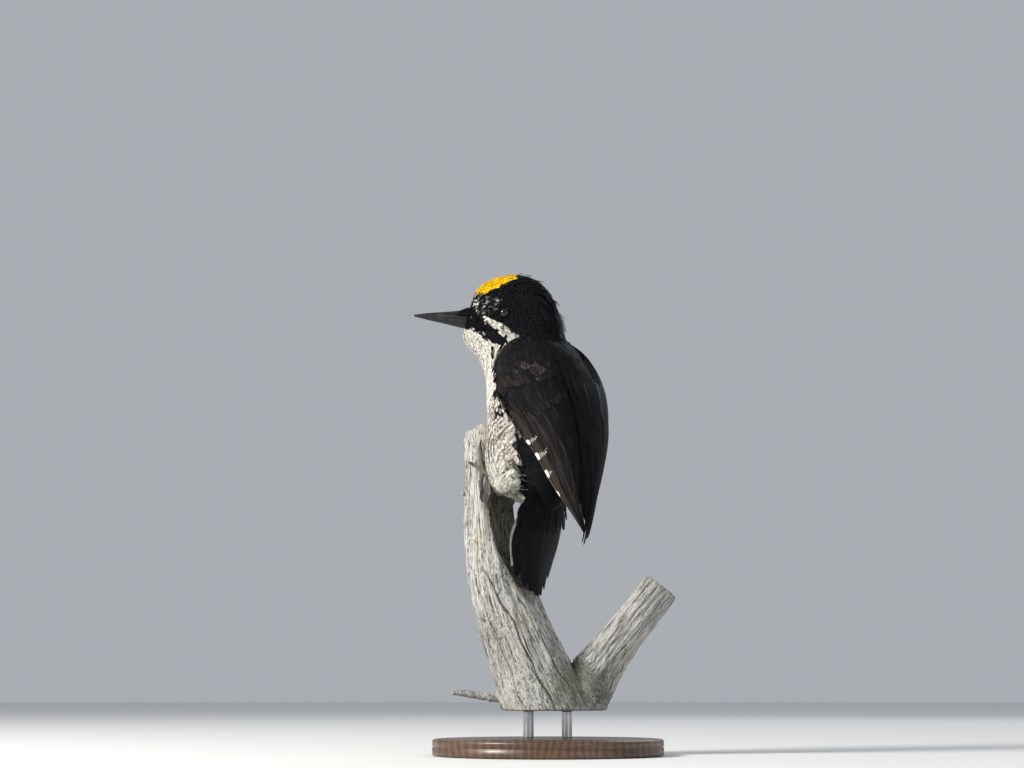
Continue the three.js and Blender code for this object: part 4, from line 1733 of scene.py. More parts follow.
@dataclass(frozen=True)
class Row:
    """A row of long feathers, numbered from the wing's front edge to its back edge.

    inset is the distance of each outer edge from the front edge at the wrist and at the tip of
    the wing, first feather and last; root and tip are places down the wing; webs the widths of
    outer and inner vane; lift the height over the wing's outer face.
    """

    count: int
    inset: tuple[Pair, Pair]
    root: Pair
    tip: Many
    webs: Pair
    lift: Pair
    barred: float = 0.0
    brown: Pair = (0.4, 0.1)
    rimmed: float = 0.0
    cut: Cut = QUILL
    steps: int = 34


@dataclass
class Wing(Sided):
    """One folded wing."""

    droop: float
    # down the wing: its back and front edges, and how far it bulges and how thick it is between
    back: Array = table((-8.0, 5.0, 203), (-19.0, 4.5, 193), (-28.0, 4.0, 176), (-31.5, 3.5, 155),
        (-32.0, 3.0, 135), (-30.5, 2.5, 112), (-28.0, 2.0, 90))
    front: Array = table((17.0, 17.5, 202), (17.0, 23.0, 187), (10.2, 27.0, 169), (-1.5, 28.3, 152),
        (-12.5, 25.6, 135.5), (-20.0, 17.0, 113), (-27.3, 3.6, 91.5))
    bulge: Array = table((3.4,), (7.8,), (9.2,), (7.4,), (4.4,), (2,), (0.3,))
    thick: Array = table((6,), (9,), (8.5,), (6.5,), (3.6,), (1.9,), (0.9,))
    edge: float = 0.8
    length: float = 115.0
    sway: Pair = (0.0, 0.0)  # how far the tip lies forward and to the left
    over: Many = (-1.0, -0.6, -0.2, 0.0, 0.25, 0.6, 1.0)  # places across a vane
    bars: Many = (0.53, 0.602, 0.682, 0.757, 0.842, 0.94)  # at the front edge
    bar_slope: float = 0.55
    # down the wing: how far the bars reach in from its front edge, and how thick they are there
    bar_reach: Array = table((0.56, 0.60, 0.64, 0.69, 0.76, 0.85), (5.5, 5.5, 6.5, 5.5, 2.6, 1.6),
        (0.85, 0.85, 1.0, 1.0, 1.0, 0.9))
    core: Many = (0.985, 1.3, 2.1, 0.6)  # as in plate()
    covert_tries: int = 9000
    # places across the wing, from its front edge, where the secondaries begin, in millimetres
    panel: Many = (11.0, 11.0, 10.8, 10.4, 9.8, 8.6, 6.2, 4.0, 1.0)

    def base(self, u: Array, v: Array) -> Array:
        """Points of the inner face, in the bird's frame.

        Args:
            u: Shares of the way across.
            v: Shares of the way down.

        Returns:
            The points.
        """
        back, front = along(self.back, v), along(self.front, v)
        chord = front - back
        outwards = unit(np.stack([-chord[..., 1], chord[..., 0], 0 * chord[..., 0]], -1))
        bulge = along(self.bulge, v)
        u = np.asarray(u)[..., None]
        made = back + chord * u + outwards * bulge * 4 * u * (1 - u)
        made[..., 2] -= self.droop * np.asarray(v) ** 2
        made = made * (1, self.side, 1)
        made[..., :2] += ease(0.6, 1.0, np.asarray(v))[..., None] * np.array(self.sway)
        return made

    def outward(self, u: Array, v: Array) -> Array:
        """The direction out of the wing.

        Args:
            u: Shares of the way across.
            v: Shares of the way down.

        Returns:
            The directions.
        """
        u, v = np.clip(u, 0.02, 0.98), np.clip(v, 0.01, 0.985)
        across = self.base(u + 0.01, v) - self.base(u - 0.01, v)
        down = self.base(u, v + 0.01) - self.base(u, v - 0.01)
        return unit(np.cross(across, down)) * self.side

    def thickness(self, u: Array, v: Array) -> Array:
        """How far the outer face stands off the inner one."""
        swell = np.sin(math.pi * np.clip(u, 0.0, 1.0)) ** 0.7
        return self.edge + (along(self.thick, v)[..., 0] - self.edge) * swell

    def point(self, u: Array, v: Array) -> Array:
        """Points of the outer face, in the bird's frame."""
        return self.base(u, v) + self.outward(u, v) * self.thickness(u, v)[..., None]

    def chord(self, v: Array) -> Array:
        """The wing's width at a place down it."""
        return np.linalg.norm(along(self.front, v) - along(self.back, v), axis=-1)

    def plate(self, v_end: float, rim: float, sunk: float, least: float) -> tuple:
        """A closed plate in the shape of the wing.

        Args:
            v_end: Where it ends down the wing.
            rim: How far it stays from the edges, in millimetres.
            sunk: How far its outer face lies under the wing's.
            least: Its least thickness.

        Returns:
            Points and faces.
        """
        v, share = np.meshgrid(np.linspace(0, v_end, 90), np.linspace(0, 1, 40), indexing="ij")
        inset = np.minimum(rim / self.chord(v), 0.45)
        u = blend(inset, 1 - inset, share)
        normal = self.outward(u, v)
        outer = self.point(u, v) - normal * sunk
        inner = self.point(u, v) - normal * np.maximum(self.thickness(u, v), sunk + least)[..., None]
        points, faces = lofted(np.concatenate([outer, inner[:, ::-1]], 1))
        return points, faces if self.side > 0 else faces[:, ::-1]

    def rows(self) -> list[Row]:
        """The rows of long feathers, from the lowest to those on top.

        Returns:
            The rows.
        """
        primaries = Row(9, ((-3.4, -0.4), (11.0, 5.0)), (0.18, 0.24),
            (0.90, 0.965, 0.99, 1.0, 0.985, 0.965, 0.94, 0.91, 0.88), (2.2, 8.0), (-1.6, -0.8), 1.0,
            (0.62, 0.35), 0.7)
        secondaries = Row(10, ((0.0, 0.0), (28.0, 22.0)), (0.16, 0.10),
            (0.86, 0.87, 0.87, 0.86, 0.845, 0.825, 0.79, 0.74, 0.67), (3.4, 9.5), (-0.7, -0.35), 0.0,
            (0.18, 0.03), 0.10)
        front = Row(9, ((-1.6, -1.6), (7.6, 5.0)), (0.10, 0.12), (0.40, 0.43, 0.445, 0.45, 0.45, 0.445),
            (1.8, 4.0), (-1.0, -0.6), 0.0, (0.42, 0.34), 0.2, COVERT, 16)
        greater = Row(12, ((3.0, 3.0), (31.0, 22.0)), (0.08, 0.05),
            (0.44, 0.455, 0.46, 0.46, 0.455, 0.45, 0.44, 0.43, 0.415, 0.40, 0.38, 0.355), (3.4, 6.0),
            (-0.5, -0.15), 0.0, (0.32, 0.1), 0.1, COVERT, 16)
        median = Row(12, ((0.5, 0.5), (30.0, 22.0)), (0.02, 0.0),
            (0.29, 0.30, 0.305, 0.305, 0.30, 0.295, 0.285, 0.275, 0.26, 0.25, 0.235, 0.22), (3.4, 5.0),
            (-0.35, 0.0), 0.0, (0.34, 0.1), 0.1, COVERT, 12)
        return [primaries, secondaries, front, greater, median]

    def edge_of(self, row: Row, order: Array, v: Array, inner: bool) -> Array:
        """The distance of a feather's outer edge from the wing's front edge.

        Args:
            row: The feathers' row.
            order: Each one's place in it, 0 to 1.
            v: Shares of the way down.
            inner: Whether it is the inner edge that is asked for.

        Returns:
            The distances.
        """
        (first_a, first_b), (last_a, last_b) = row.inset
        fold = ease(0.35, 1.0, v)
        first, last = blend(first_a, first_b, fold), blend(last_a, last_b, fold)
        if inner:
            panel = np.interp(v, np.linspace(0.2, 1.0, len(self.panel)), self.panel)
            first, last = panel, np.minimum(last, 0.86 * self.chord(v))
        return np.minimum(blend(first, last, order), 0.9 * self.chord(v))

    def quills(self, surface: Surface, row: Row, rng: Random) -> None:
        """Lays one row of long feathers.

        Args:
            surface: Takes them.
            row: The row.
            rng: Random numbers.
        """
        n = row.count
        order = np.linspace(0, 1, n)
        lift = blend(row.lift[0], row.lift[1], order)
        jitter = 0.006 if row.cut is QUILL else 0.014
        root = blend(row.root[0], row.root[1], order) + rng.uniform(-0.006, 0.006, n)
        tip = np.interp(order, np.linspace(0, 1, len(row.tip)), row.tip)
        tip = np.minimum(tip + rng.uniform(-jitter, jitter, n), 1.0)
        s = np.linspace(0, 1, row.steps)[None]
        v = root[:, None] + (tip - root)[:, None] * s
        share = row.cut.share(s)
        across = np.array(self.over)
        chord = self.chord(v)
        squeeze = ease(1.02, 0.80, v) * 0.75 + 0.25  # narrower towards the wing's tip
        outer_web, inner_web = row.webs[0] * squeeze, row.webs[1] * squeeze
        secondary = row.barred == 0.0 and row.cut is QUILL
        shaft = self.edge_of(row, order[:, None], v, secondary) + outer_web
        web = np.where(across > 0, -outer_web[..., None], inner_web[..., None]) * np.abs(across)
        inset = shaft[..., None] + web * share[..., None]
        u = np.clip(1 - inset / chord[..., None], 0.0, 1.15)
        point_back = 0.006 * (np.abs(across) ** 2)[None, None] * (s[..., None] > 0.86)
        vs = np.broadcast_to(v[..., None], u.shape) - point_back
        height = lift[:, None, None] - 0.30 * across[None, None] ** 2
        rise = 0.40 if row.cut is QUILL else 0.22
        height = height + 0.16 * np.exp(-((across / 0.12) ** 2)) + rise * ease(0.3, 1.0, s)[..., None]
        points = self.point(u, vs) + self.outward(u, vs) * height[..., None]
        chance = rng.uniform(0, 1, n)[:, None, None]
        length = np.linalg.norm(np.diff(points[:, :, 3], axis=1), axis=-1).sum(1)
        at = vs + self.bar_slope * inset / self.length + rng.uniform(-0.007, 0.007, (n, 1, 1))
        phase = np.interp(at, self.bars, np.arange(len(self.bars)))
        within = ease(0.565, 0.575, at) * ease(0.905, 0.89, at)
        limit = np.interp(at, self.bar_reach[0], self.bar_reach[1]) + rng.uniform(-1, 1, (n, 1, 1))
        within = within * ease(limit + 0.8, limit - 0.8, inset) * blend(1.0, 0.62, ease(-1, 5, inset))
        pale = row.barred * ease(-0.05, 0.15, across) * within
        pale = pale * np.interp(at, self.bar_reach[0], self.bar_reach[2])
        brown = blend(row.brown[0], row.brown[1], order) + rng.uniform(-0.2, 0.2, n)
        uv = 0.05 + 0.9 * np.stack([u[:, :1, 3:4], root[:, None, None]], -1)
        add_vanes(surface, points, (s[..., None], across, chance), length[:, None, None], uv,
            self.side > 0, marks=marked(pale, brown[:, None, None], row.rimmed), phase=phase)

    def build(self, quill: Material, down: Material) -> list[Any]:
        """The wing's core and its long feathers.

        Args:
            quill: The long feathers' finish.
            down: The finish of the core.

        Returns:
            The objects.
        """
        rng = np.random.default_rng(SEED + self.side)
        points, faces = self.plate(*self.core)
        surface = Surface()
        for row in self.rows():
            self.quills(surface, row, rng)
        quills = surface.made(f"quills_{self.name}", quill)
        return [quills, one_piece(f"wing_core_{self.name}", down, points, faces, **bare(len(points)))]

    def dress(self, material: Material) -> Any:
        """The small coverts over the upper part of the wing.

        Args:
            material: Their finish.

        Returns:
            The object.
        """
        rng = np.random.default_rng(SEED + 10 + self.side)
        surface = Surface()
        u, v = rng.uniform(0.0, 1.0, self.covert_tries), rng.uniform(0.0, 0.25, self.covert_tries)
        kept = thinned(self.point(u, v), np.interp(v, (0, 0.15, 0.25), (1.7, 2.2, 2.8)))
        order = kept[np.argsort(-v[kept])]
        u, v = u[order], v[order]
        n = len(u)
        size = np.interp(v, (0, 0.12, 0.25), (0.62, 0.85, 1.1)) * rng.uniform(0.9, 1.1, n)
        s = COVERT.steps[None]
        vs = v[:, None] + (8.5 * size / self.length)[:, None] * s
        us = np.clip(u[:, None] - (rng.normal(0.6, 0.4, n) / self.chord(v))[:, None] * s, 0.0, 1.0)
        up = self.outward(us, vs)
        lift = blend(-0.1, 0.42, np.sin(s * math.pi / 2)) + rng.uniform(-0.08, 0.08, (n, 1))
        spine = self.point(us, vs) + up * lift[..., None]
        worn = ease(0.30, 1.0, ripple(spine[:, 4], 15.0, 12)) * ease(0.35, 0.75, u) * (v > 0.05)
        brown = np.clip(blend(0.10, 0.34, ease(0.35, 0.95, u)) + 0.12 * worn, 0, 1)
        # painted highlight: an oval patch of coverts in the middle of the wing, made browner and pale-rimmed
        patch = np.hypot((u - 0.52) / 0.16, (v - 0.20) / 0.055)
        painted_highlight = ease(1.1, 0.5, patch) * (rng.uniform(0, 1, n) < 0.55) * rng.uniform(0.3, 0.8, n)
        marks = marked(0 * u, np.clip(brown + painted_highlight, 0, 1), painted_highlight)
        uv = np.stack([0.03 + 0.92 * u, 0.03 + 0.92 * v / 0.36], -1)
        roots = Roots(spine[:, 0], spine[:, 1], uv, {"marks": marks, "phase": 0 * u})
        lay(surface, spine, up, 2.7 * size, COVERT, roots, rng, barred=False)
        return surface.made(f"coverts_{self.name}", material)


@dataclass
class Shoulders:
    """Feathers of back and breast that close over the edges of the folded wings.

    Widths are in degrees from the middle of the back; edge is how far down a wing's front edge
    the scaly feathers of the breast reach, as a share of its length.
    """

    wings: Sequence[Wing]
    span: Pair = (0.47, 0.84)
    widths: Many = (84, 80, 58, 44, 26)
    at: Many = (0.47, 0.52, 0.62, 0.72, 0.84)
    swell: float = 6.0
    edge: float = 0.52
    cell: float = 1.2
    tries: int = 12000
    edging_tries: int = 900
    mantle: Coat = Coat(10.5, 3.0, 0.05, 0.75, COVERT, 4)
    edging: Coat = Coat(5.4, 1.2, 1.9, 3.5, SMALL, 9, strands=1, strand_half=0.14)
    # down the wings: where the bridge over the back rests across each wing, and its rise
    bridge: Array = table((0.0, 0.2, 0.4, 0.6, 0.8, 0.93, 1.0), (0.16, 0.20, 0.20, 0.17, 0.14, 0.16, 0.3),
        (1.0, 2.0, 2.2, 1.8, 1.2, 0.6, 0.2))
    # rows of long feathers: tip and root down the wings, reach across, and how many
    tiers: tuple[tuple[float, float, float, int], ...] = ((0.99, 0.50, 1.0, 7), (0.94, 0.42, 0.95, 7),
        (0.80, 0.34, 0.9, 7), (0.66, 0.24, 0.95, 8), (0.54, 0.16, 0.95, 8))

    def __post_init__(self) -> None:
        """Joins body and wings into the form that these feathers follow."""
        plates = [wing.plate(1.0, 0.0, 0.2, 1.5) for wing in self.wings]
        self.form = Form(*remeshed([FLESH.closed(-0.9), *plates, self.saddle()], self.cell, 4))

    def over(self, across: Array, v: Array) -> Array:
        """Points of the bridge over the back; across is -1 on the right wing and 1 on the left.

        Args:
            across: -1 on the right wing to 1 on the left.
            v: Shares of the way down.

        Returns:
            The points.
        """
        u = np.interp(v, self.bridge[0], self.bridge[1])
        left, right = (wing.point(u, v) for wing in self.wings)
        share = (np.asarray(across)[..., None] + 1) / 2
        made = right + (left - right) * share
        rise = np.interp(v, self.bridge[0], self.bridge[2]) * (1 - np.asarray(across) ** 2)
        made[..., 0] -= rise
        return made

    def saddle(self) -> tuple:
        """A closed pad that bridges the furrow between the wings.

        Returns:
            Its points and faces.
        """
        v, across = np.meshgrid(np.linspace(0.06, 0.93, 90), np.linspace(-1, 1, 24), indexing="ij")
        outer = self.over(across, v)
        inner = outer + (1.5, 0.0, 0.0)
        return lofted(np.concatenate([outer, inner[:, ::-1]], 1))

    def long_feathers(self, material: Material) -> Any:
        """Long feathers of the back over the furrow between the wings, down to near their tips.

        Args:
            material: Their finish.

        Returns:
            The object.
        """
        rng = np.random.default_rng(SEED + 60)
        surface = Surface()
        for tip, root, apart, count in self.tiers:
            across = np.linspace(-apart, apart, count) + rng.uniform(-0.05, 0.05, count)
            order = np.argsort(-np.abs(across))
            across = across[order]
            s = QUILL.steps[None]
            end = tip - 0.05 * np.abs(across) + rng.uniform(-0.012, 0.012, count)
            v = root + (end[:, None] - root) * s
            line = self.over(across[:, None] * (1 - 0.15 * s), v)
            side = self.over(across[:, None] * (1 - 0.15 * s) + 0.05, v) - line
            up = unit(np.cross(side, np.gradient(line, axis=1)))
            up = up * -np.sign(up[..., :1])
            line = line + up * blend(0.2, 0.9, s)[..., None] * rng.uniform(0.8, 1.3, (count, 1, 1))
            marks = marked(0 * across, 0.12)
            uv = np.stack([0.5 + across * 0.3, 0.1 + root + 0 * across], -1)
            roots = Roots(line[:, 0], line[:, 1], uv, {"marks": marks, "phase": 0 * across})
            lay(surface, line, up, np.full(count, 4.2), QUILL, roots, rng, barred=False)
        return surface.made("quills_back", material)

    def build(self, material: Material) -> Any:
        """Feathers of the back and the shoulders over the wings' inner edges.

        Args:
            material: Their finish.

        Returns:
            The object.
        """
        rng = np.random.default_rng(SEED + 30)
        t, turn = FLESH.candidates(self.tries, self.span, rng, self.swell)
        inside = np.abs(turn) < np.radians(np.interp(t, self.at, self.widths))
        t, turn = t[inside], turn[inside]
        at, _ = self.form.nearest(FLESH.point(t, turn, self.swell))
        kept = thinned(at, np.interp(t, self.span, (1.7, 2.4)))
        t, turn = t[kept], turn[kept]
        roots = flesh_roots(t, turn, 0.0, self.swell)
        roots.values["marks"][:, :3] = 0
        surface = Surface()
        order = np.argsort(-t)
        size = np.interp(t, (0.47, 0.6, 0.84), (0.62, 0.95, 1.15))
        self.mantle.grow(surface, self.form, roots.only(order), size[order], rng)
        return surface.made("coat_mantle", material)

    def dress(self, wing: Wing, material: Material) -> Any:
        """Scaly feathers of neck and breast that overlap the front edge of a wing.

        Args:
            wing: The wing.
            material: Their finish.

        Returns:
            The object.
        """
        rng = np.random.default_rng(SEED + 40 + wing.side)
        n = self.edging_tries
        v, out = rng.uniform(0.0, self.edge, n), rng.uniform(-2.5, 5.5, n)
        front = wing.point(np.ones(n), v)
        forward = unit(wing.base(np.ones(n), v) - wing.base(np.zeros(n), v))
        at, _ = self.form.nearest(front + forward * out[:, None])
        kept = thinned(at, np.full(n, 1.35))
        kept = kept[np.argsort(-v[kept])]
        v, out, at, forward = v[kept], out[kept], at[kept], forward[kept]
        n = len(kept)
        down = unit(wing.point(np.ones(n), v + 0.02) - wing.point(np.ones(n), v - 0.02))
        pale = rng.choice((0.05, 0.52, 0.85), n, p=(0.42, 0.26, 0.32)) * ease(-2.5, 0.0, out)
        marks = marked(pale, 0.0, 0.9 * ease(0.10, 0.25, v))
        uv = np.stack([0.05 + 0.1 * out, 0.05 + 1.6 * v], -1)
        values = {"marks": marks, "phase": rng.uniform(-0.1, 0.1, n)}
        roots = Roots(at, unit(down - forward * 0.45), uv, values)
        surface = Surface()
        self.edging.grow(surface, self.form, roots, np.interp(v, (0, self.edge), (0.8, 1.25)), rng)
        return surface.made(f"coat_edging_{wing.name}", material)


# --- tail


@dataclass
class Tail:
    """The stiff tail, ten feathers in five pairs; the middle pair lies on top.

    Each row of line is forward, height, half width and depth of the roof of the spread tail.
    """

    line: Array = table((-5.0, 120, 13.0, 3.0), (-1.5, 104, 21.5, 4.0), (3.5, 88, 24.5, 4.5),
        (6.5, 72, 22.0, 5.0), (7.2, 55.8, 16.0, 5.0))
    edges: Many = (0.27, 0.53, 0.74, 0.93, 1.0)  # outer edge of each, share of half width
    tips: Many = (1.0, 0.965, 0.90, 0.815, 0.74)
    halves: Many = (6.4, 6.3, 6.2, 6.0, 5.2)
    white: Many = (0.0, 0.0, 0.0, 0.0, 1.0)
    step: float = 0.22  # height between one pair and the next
    rows: int = 34
    reach: float = 60.0  # the length that the barbs' lines are spaced by
    covert_tries: int = 260  # above and below

    def point(self, across: Array, v: Array) -> Array:
        """Points of the outer face; across is from -1 on the right edge to 1 on the left."""
        x, z, half, roof = np.moveaxis(along(self.line, v), -1, 0)
        return np.stack([x + roof * across**2, across * half, z], -1)

    def build(self, quill: Material) -> Any:
        """All ten feathers as one mesh.

        Args:
            quill: The long feathers' finish.

        Returns:
            The object.
        """
        rng = np.random.default_rng(SEED + 20)
        surface = Surface()
        s = np.linspace(0, 1, self.rows)
        over = np.linspace(-1, 1, STIFF.columns)
        share = STIFF.share(s)
        for k in reversed(range(len(self.edges))):
            for side in (1, -1):
                tip = self.tips[k] + rng.uniform(-0.012, 0.012)
                v = s * tip
                half_width = along(self.line, v)[:, 2]
                width = self.halves[k] * share
                outer = np.minimum(self.edges[k] * half_width, half_width)
                outer = blend(outer, outer - 0.5 * self.halves[k], ease(0.55, 1.0, s))
                middle = outer - width
                place = (middle[:, None] + width[:, None] * over) / half_width[:, None] * side
                v_all = np.broadcast_to(v[:, None], place.shape)
                worn = rng.uniform(-1, 1, len(over))[None] * 0.008 * (s[:, None] ** 8)
                points = self.point(place, np.clip(v_all + worn, 0, 1))
                normal = unit(np.stack([-1 + 0 * place, 0.35 * place, 0 * place], -1))
                height = -self.step * k - 0.12 * over[None] ** 2 + 0.3 * s[:, None]
                shaft = 0.22 * np.exp(-((over[None] / 0.12) ** 2)) * (1 - 0.7 * s[:, None])
                points = points + normal * (height + shaft)[..., None]
                pale = self.white[k] * ease(0.10, 0.3, s)[:, None] * np.ones(place.shape)
                pale = 0.2 * pale * ease(-0.9, -0.2, over)[None]
                marks = marked(pale, 0.15 + 0.35 * ease(0.8, 1.0, over)[None] * (k == 4))
                add_vanes(surface, points[None], (s[:, None], over, rng.uniform(0.2, 0.6)), self.reach,
                    np.array((0.5 + side * (0.05 + 0.08 * k), 0.05)), side < 0, marks=marks[None],
                    phase=np.zeros((1, *place.shape)))
        return surface.made("tail_quills", quill)

    def dress(self, material: Material, rng: Random) -> Any:
        """Coverts over the root of the tail, black above and barred below.

        Args:
            material: Their finish.
            rng: Random numbers.

        Returns:
            The object.
        """
        surface = Surface()
        for face in (1, -1):
            n = self.covert_tries
            across, v = rng.uniform(-0.95, 0.95, n), rng.uniform(-0.02, 0.24, n)
            across = across * (1.0 if face > 0 else 0.7)
            at = self.point(across, np.clip(v, 0, 1))
            at[:, 2] -= np.minimum(v, 0) * 60
            kept = thinned(at, np.full(n, 2.3))
            across, v, at = across[kept], v[kept], at[kept]
            order = np.argsort(-v)
            across, v, at = across[order], v[order], at[order]
            s = CONTOUR.steps[None]
            reach = rng.uniform(0.16, 0.22, len(v)) * (1 - 0.35 * across**2)
            vs = np.clip(v, 0, 1)[:, None] + reach[:, None] * s
            line = self.point(across[:, None] * (1 + 0.1 * face * s), vs)
            up = unit(np.stack([-face + 0 * vs, 0.3 * face * across[:, None] + 0 * vs, 0.1 + 0 * vs], -1))
            lift = (0.9 if face > 0 else 1.6) + 0.9 * s + 6 * np.maximum(0.1 - vs, 0)
            line = line + up * lift[..., None]
            count = len(v)
            pale = np.full(count, 0.0 if face > 0 else 0.85)
            marks = marked(pale, 0.0, pale * 0.9)
            phase = rng.uniform(-0.1, 0.1, count)
            uv = np.stack([0.5 + across * 0.4, 0.5 + face * (0.1 + v)], -1)
            roots = Roots(at, line[:, 1] - line[:, 0], uv, {"marks": marks, "phase": phase})
            lay(surface, line, up, np.full(count, 2.5), CONTOUR, roots, rng)
        return surface.made("tail_coverts", material)


# --- snag and feet


@dataclass(frozen=True)
class Split:
    """A drying crack: heights, turns round the wood there, and half width."""

    heights: Many
    turns: Many
    width: float
    on_arm: bool = False


@dataclass
class Snag:
    """The broken stem with its hollow, its cut arm and its twigs.

    Each row of stem is the middle, in the snag's frame, and the half width. arm and hollow are
    middles too, and depth is how deep the stem is beside its width.
    """

    stem: Array = table((5.0, -2.0, -22, 27.5), (1.5, -2.0, -8, 28.3), (-9.0, -4.0, 15, 23.6),
        (-18.2, -6.0, 37.6, 21.2), (-26.0, -7.0, 60.5, 18.8), (-31.0, -2.5, 87, 16.0),
        (-33.4, 5.0, 113, 14.6), (-36.0, 12.3, 137, 12.4), (-38.6, 15.6, 158, 9.6))
    depth: float = 0.94
    arm: Array = table((12, -1, -22), (23, 0, 4), (36.5, 0, 26), (48, -1, 40), (66, -2, 63))
    hollow: Array = table((-1, -28, 52), (-8.4, -20.9, 65), (-17.1, -13, 84.4), (-23.4, -3.0, 110),
        (-26.5, 1.5, 125))
    hollow_radii: Many = (6, 10, 13, 12.8, 7)
    arm_half: float = 12.5
    cell: float = 0.75
    foot: float = -8.0
    splits: tuple[Split, ...] = (Split((-12, 16, 41, 62, 76), (-1.67, -1.62, -1.57, -1.27, -0.95), 0.42),
        Split((-12, 20, 50, 70), (-1.05, -0.98, -0.80, -0.62), 0.18),
        Split((-6, 30, 60), (-2.25, -2.15, -2.0), 0.22),
        Split((60, 100, 145), (-0.75, -0.95, -1.15), 0.16),
        Split((85, 130, 152), (-1.30, -1.36, -1.45), 0.14), Split((-12, 30, 70), (0.3, 0.22, 0.34), 0.45),
        Split((10, 60, 130), (1.4, 1.47, 1.40), 0.40), Split((-12, 40, 90), (2.5, 2.42, 2.52), 0.40),
        Split((26, 45, 70), (-1.40, -1.34, -1.42), 0.16, True),
        Split((12, 34, 58), (0.9, 0.95, 0.86), 0.45, True))

    def fluting(self, turn: Array, height: Array) -> Array:
        """Flutes that run up the wood, as a share of its radius."""
        return (0.035 * np.sin(5 * turn + height / 23) + 0.025 * np.sin(9 * turn - height / 17) + 0.02
            * np.sin(2 * turn + height / 11))

    def stem_point(self, turn: float, height: float, lift: float) -> Array:
        """The place over the stem's surface at a turn and height, in the snag's frame.

        Args:
            turn: The turn.
            height: The height.
            lift: How far out from the surface.

        Returns:
            The place.
        """
        shares = np.linspace(0, 1, 400)
        t = np.interp(height, along(self.stem, shares)[:, 2], shares)
        x, y, z, half = along(self.stem, t)
        r = half * (1 + self.fluting(np.asarray(turn), z)) + lift
        return np.array([x + r * math.cos(turn), y + self.depth * r * math.sin(turn), z])

    @staticmethod
    def off_line(points: Array, line: Array) -> tuple[Array, Array, Array]:
        """Nearest place on a fine line: its number, the distance, and the offset from it.

        Args:
            points: Places.
            line: Points of the line.

        Returns:
            The three, for each place.
        """
        numbers = np.zeros(len(points), int)
        for start in range(0, len(points), 20000):
            part = points[start : start + 20000]
            gaps = np.linalg.norm(part[:, None] - line[None], axis=-1)
            numbers[start : start + 20000] = gaps.argmin(1)
        offset = points - line[numbers]
        return numbers, np.linalg.norm(offset, axis=-1), offset

    def grain(self, points: Array) -> tuple[Array, Array, Array]:
        """The straightened place in the wood: two numbers across the grain and one along it.

        Args:
            points: Places in the snag's frame.

        Returns:
            Those numbers, and the distances from the middles of stem and arm in half widths.
        """
        t = np.linspace(0, 1, 160)
        stem, arm = along(self.stem, t), along(self.arm, t)
        found = []
        for line, radius in ((stem[:, :3], stem[:, 3]), (arm, np.full(len(t), self.arm_half))):
            numbers, gap, offset = self.off_line(points, line)
            length = np.concatenate([[0], np.cumsum(np.linalg.norm(np.diff(line, axis=0), axis=1))])
            onward = unit(np.gradient(line, axis=0))[numbers]
            side = unit(np.cross(onward, (0, 1, 0)))
            front = np.cross(side, onward)
            beyond = np.sum(offset * onward, -1)
            flat = np.stack([np.sum(offset * side, -1), np.sum(offset * front, -1),
                length[numbers] + beyond], -1)
            found.append((flat, gap / radius[numbers]))
        (on_stem, stem_gap), (on_arm, arm_gap) = found
        share = ease(-0.20, 0.20, stem_gap - arm_gap)
        return blend(on_stem, on_arm, share[:, None]), stem_gap, arm_gap

    def build(self, wood: Material) -> Any:
        """The snag with relief along its grain, cracks, a hollow, and worn ends.

        Args:
            wood: The wood's finish.

        Returns:
            The object.
        """
        points, faces = Body.cad_solid("perch_snag", 0.15)
        points = STANCE.from_bird(points)
        even, quads = remeshed([(points, faces)], self.cell, 5)
        local = even - np.array(STANCE.snag)
        normal = vertex_normals(even, quads)
        grain, stem_gap, arm_gap = self.grain(local)
        on_arm = ease(-0.12, 0.12, stem_gap - arm_gap)
        joint = np.exp(-(((stem_gap - arm_gap) / 0.22) ** 2)) * ease(-4, 8, local[:, 2])
        twig = ease(1.2, 1.45, np.minimum(stem_gap, arm_gap))
        line = along(np.column_stack([self.hollow, self.hollow_radii]), np.linspace(0, 1, 120))
        numbers, gap, _ = self.off_line(local, line[:, :3])
        inner = ease(2.6, 0.6, gap - line[numbers, 3]) * ease(45, 58, local[:, 2])
        drawn = grain * (1, 1, 0.05)
        ridges = ripple(drawn, 2.6, 31, 9)
        coarse = ripple(drawn * (1, 1, 1.6), 6.5, 32, 9)
        pits = ripple(grain * (1, 1, 0.5), 5.0, 33, 9)
        turn = np.arctan2(grain[:, 1], grain[:, 0])
        crack = self.cracks(local, grain, turn, on_arm) * (1 - inner) * (1 - joint)
        relief = (0.32 * ridges + 0.45 * coarse + 0.14 * pits) * (1 - 0.85 * twig) + 0.35 * twig
        relief = relief + 1.9 * joint - 1.3 * crack
        sawn = ease(self.foot + 1.2, self.foot + 0.4, local[:, 2])
        end = ease(-1.6, -0.6, (local - self.arm[-1]) @ unit(self.arm[-1] - self.arm[-2]))
        quiet = 1 - np.maximum(sawn, end) * 0.9
        even = even + normal * (relief * quiet)[:, None]
        # painted shade: a soft band round the hollow's rim is pushed a little towards the hollow's darker
        # inside
        rim = np.exp(-(((gap - line[numbers, 3]) / 2.2) ** 2)) * ease(45, 60, local[:, 2])
        green = ease(26, 6, np.hypot((local[:, 0] - 17) / 1.3, local[:, 2] - 6)) * 0.75
        green = np.maximum(green,
            0.5 * ease(16, 4, np.abs(local[:, 2] - 38) / 1.4) * ease(-10, -24, local[:, 0]))
        green = np.maximum(green, 0.35 * ease(-0.2, 0.6, ripple(grain, 24.0, 36)) * on_arm)
        green = green * (1 - inner)
        state = marked(np.clip(crack, 0, 1), np.clip(inner + 0.12 * rim, 0, 1), green)
        return one_piece("snag_wood", wood, even, quads, fixed, grain=grain, state=state)

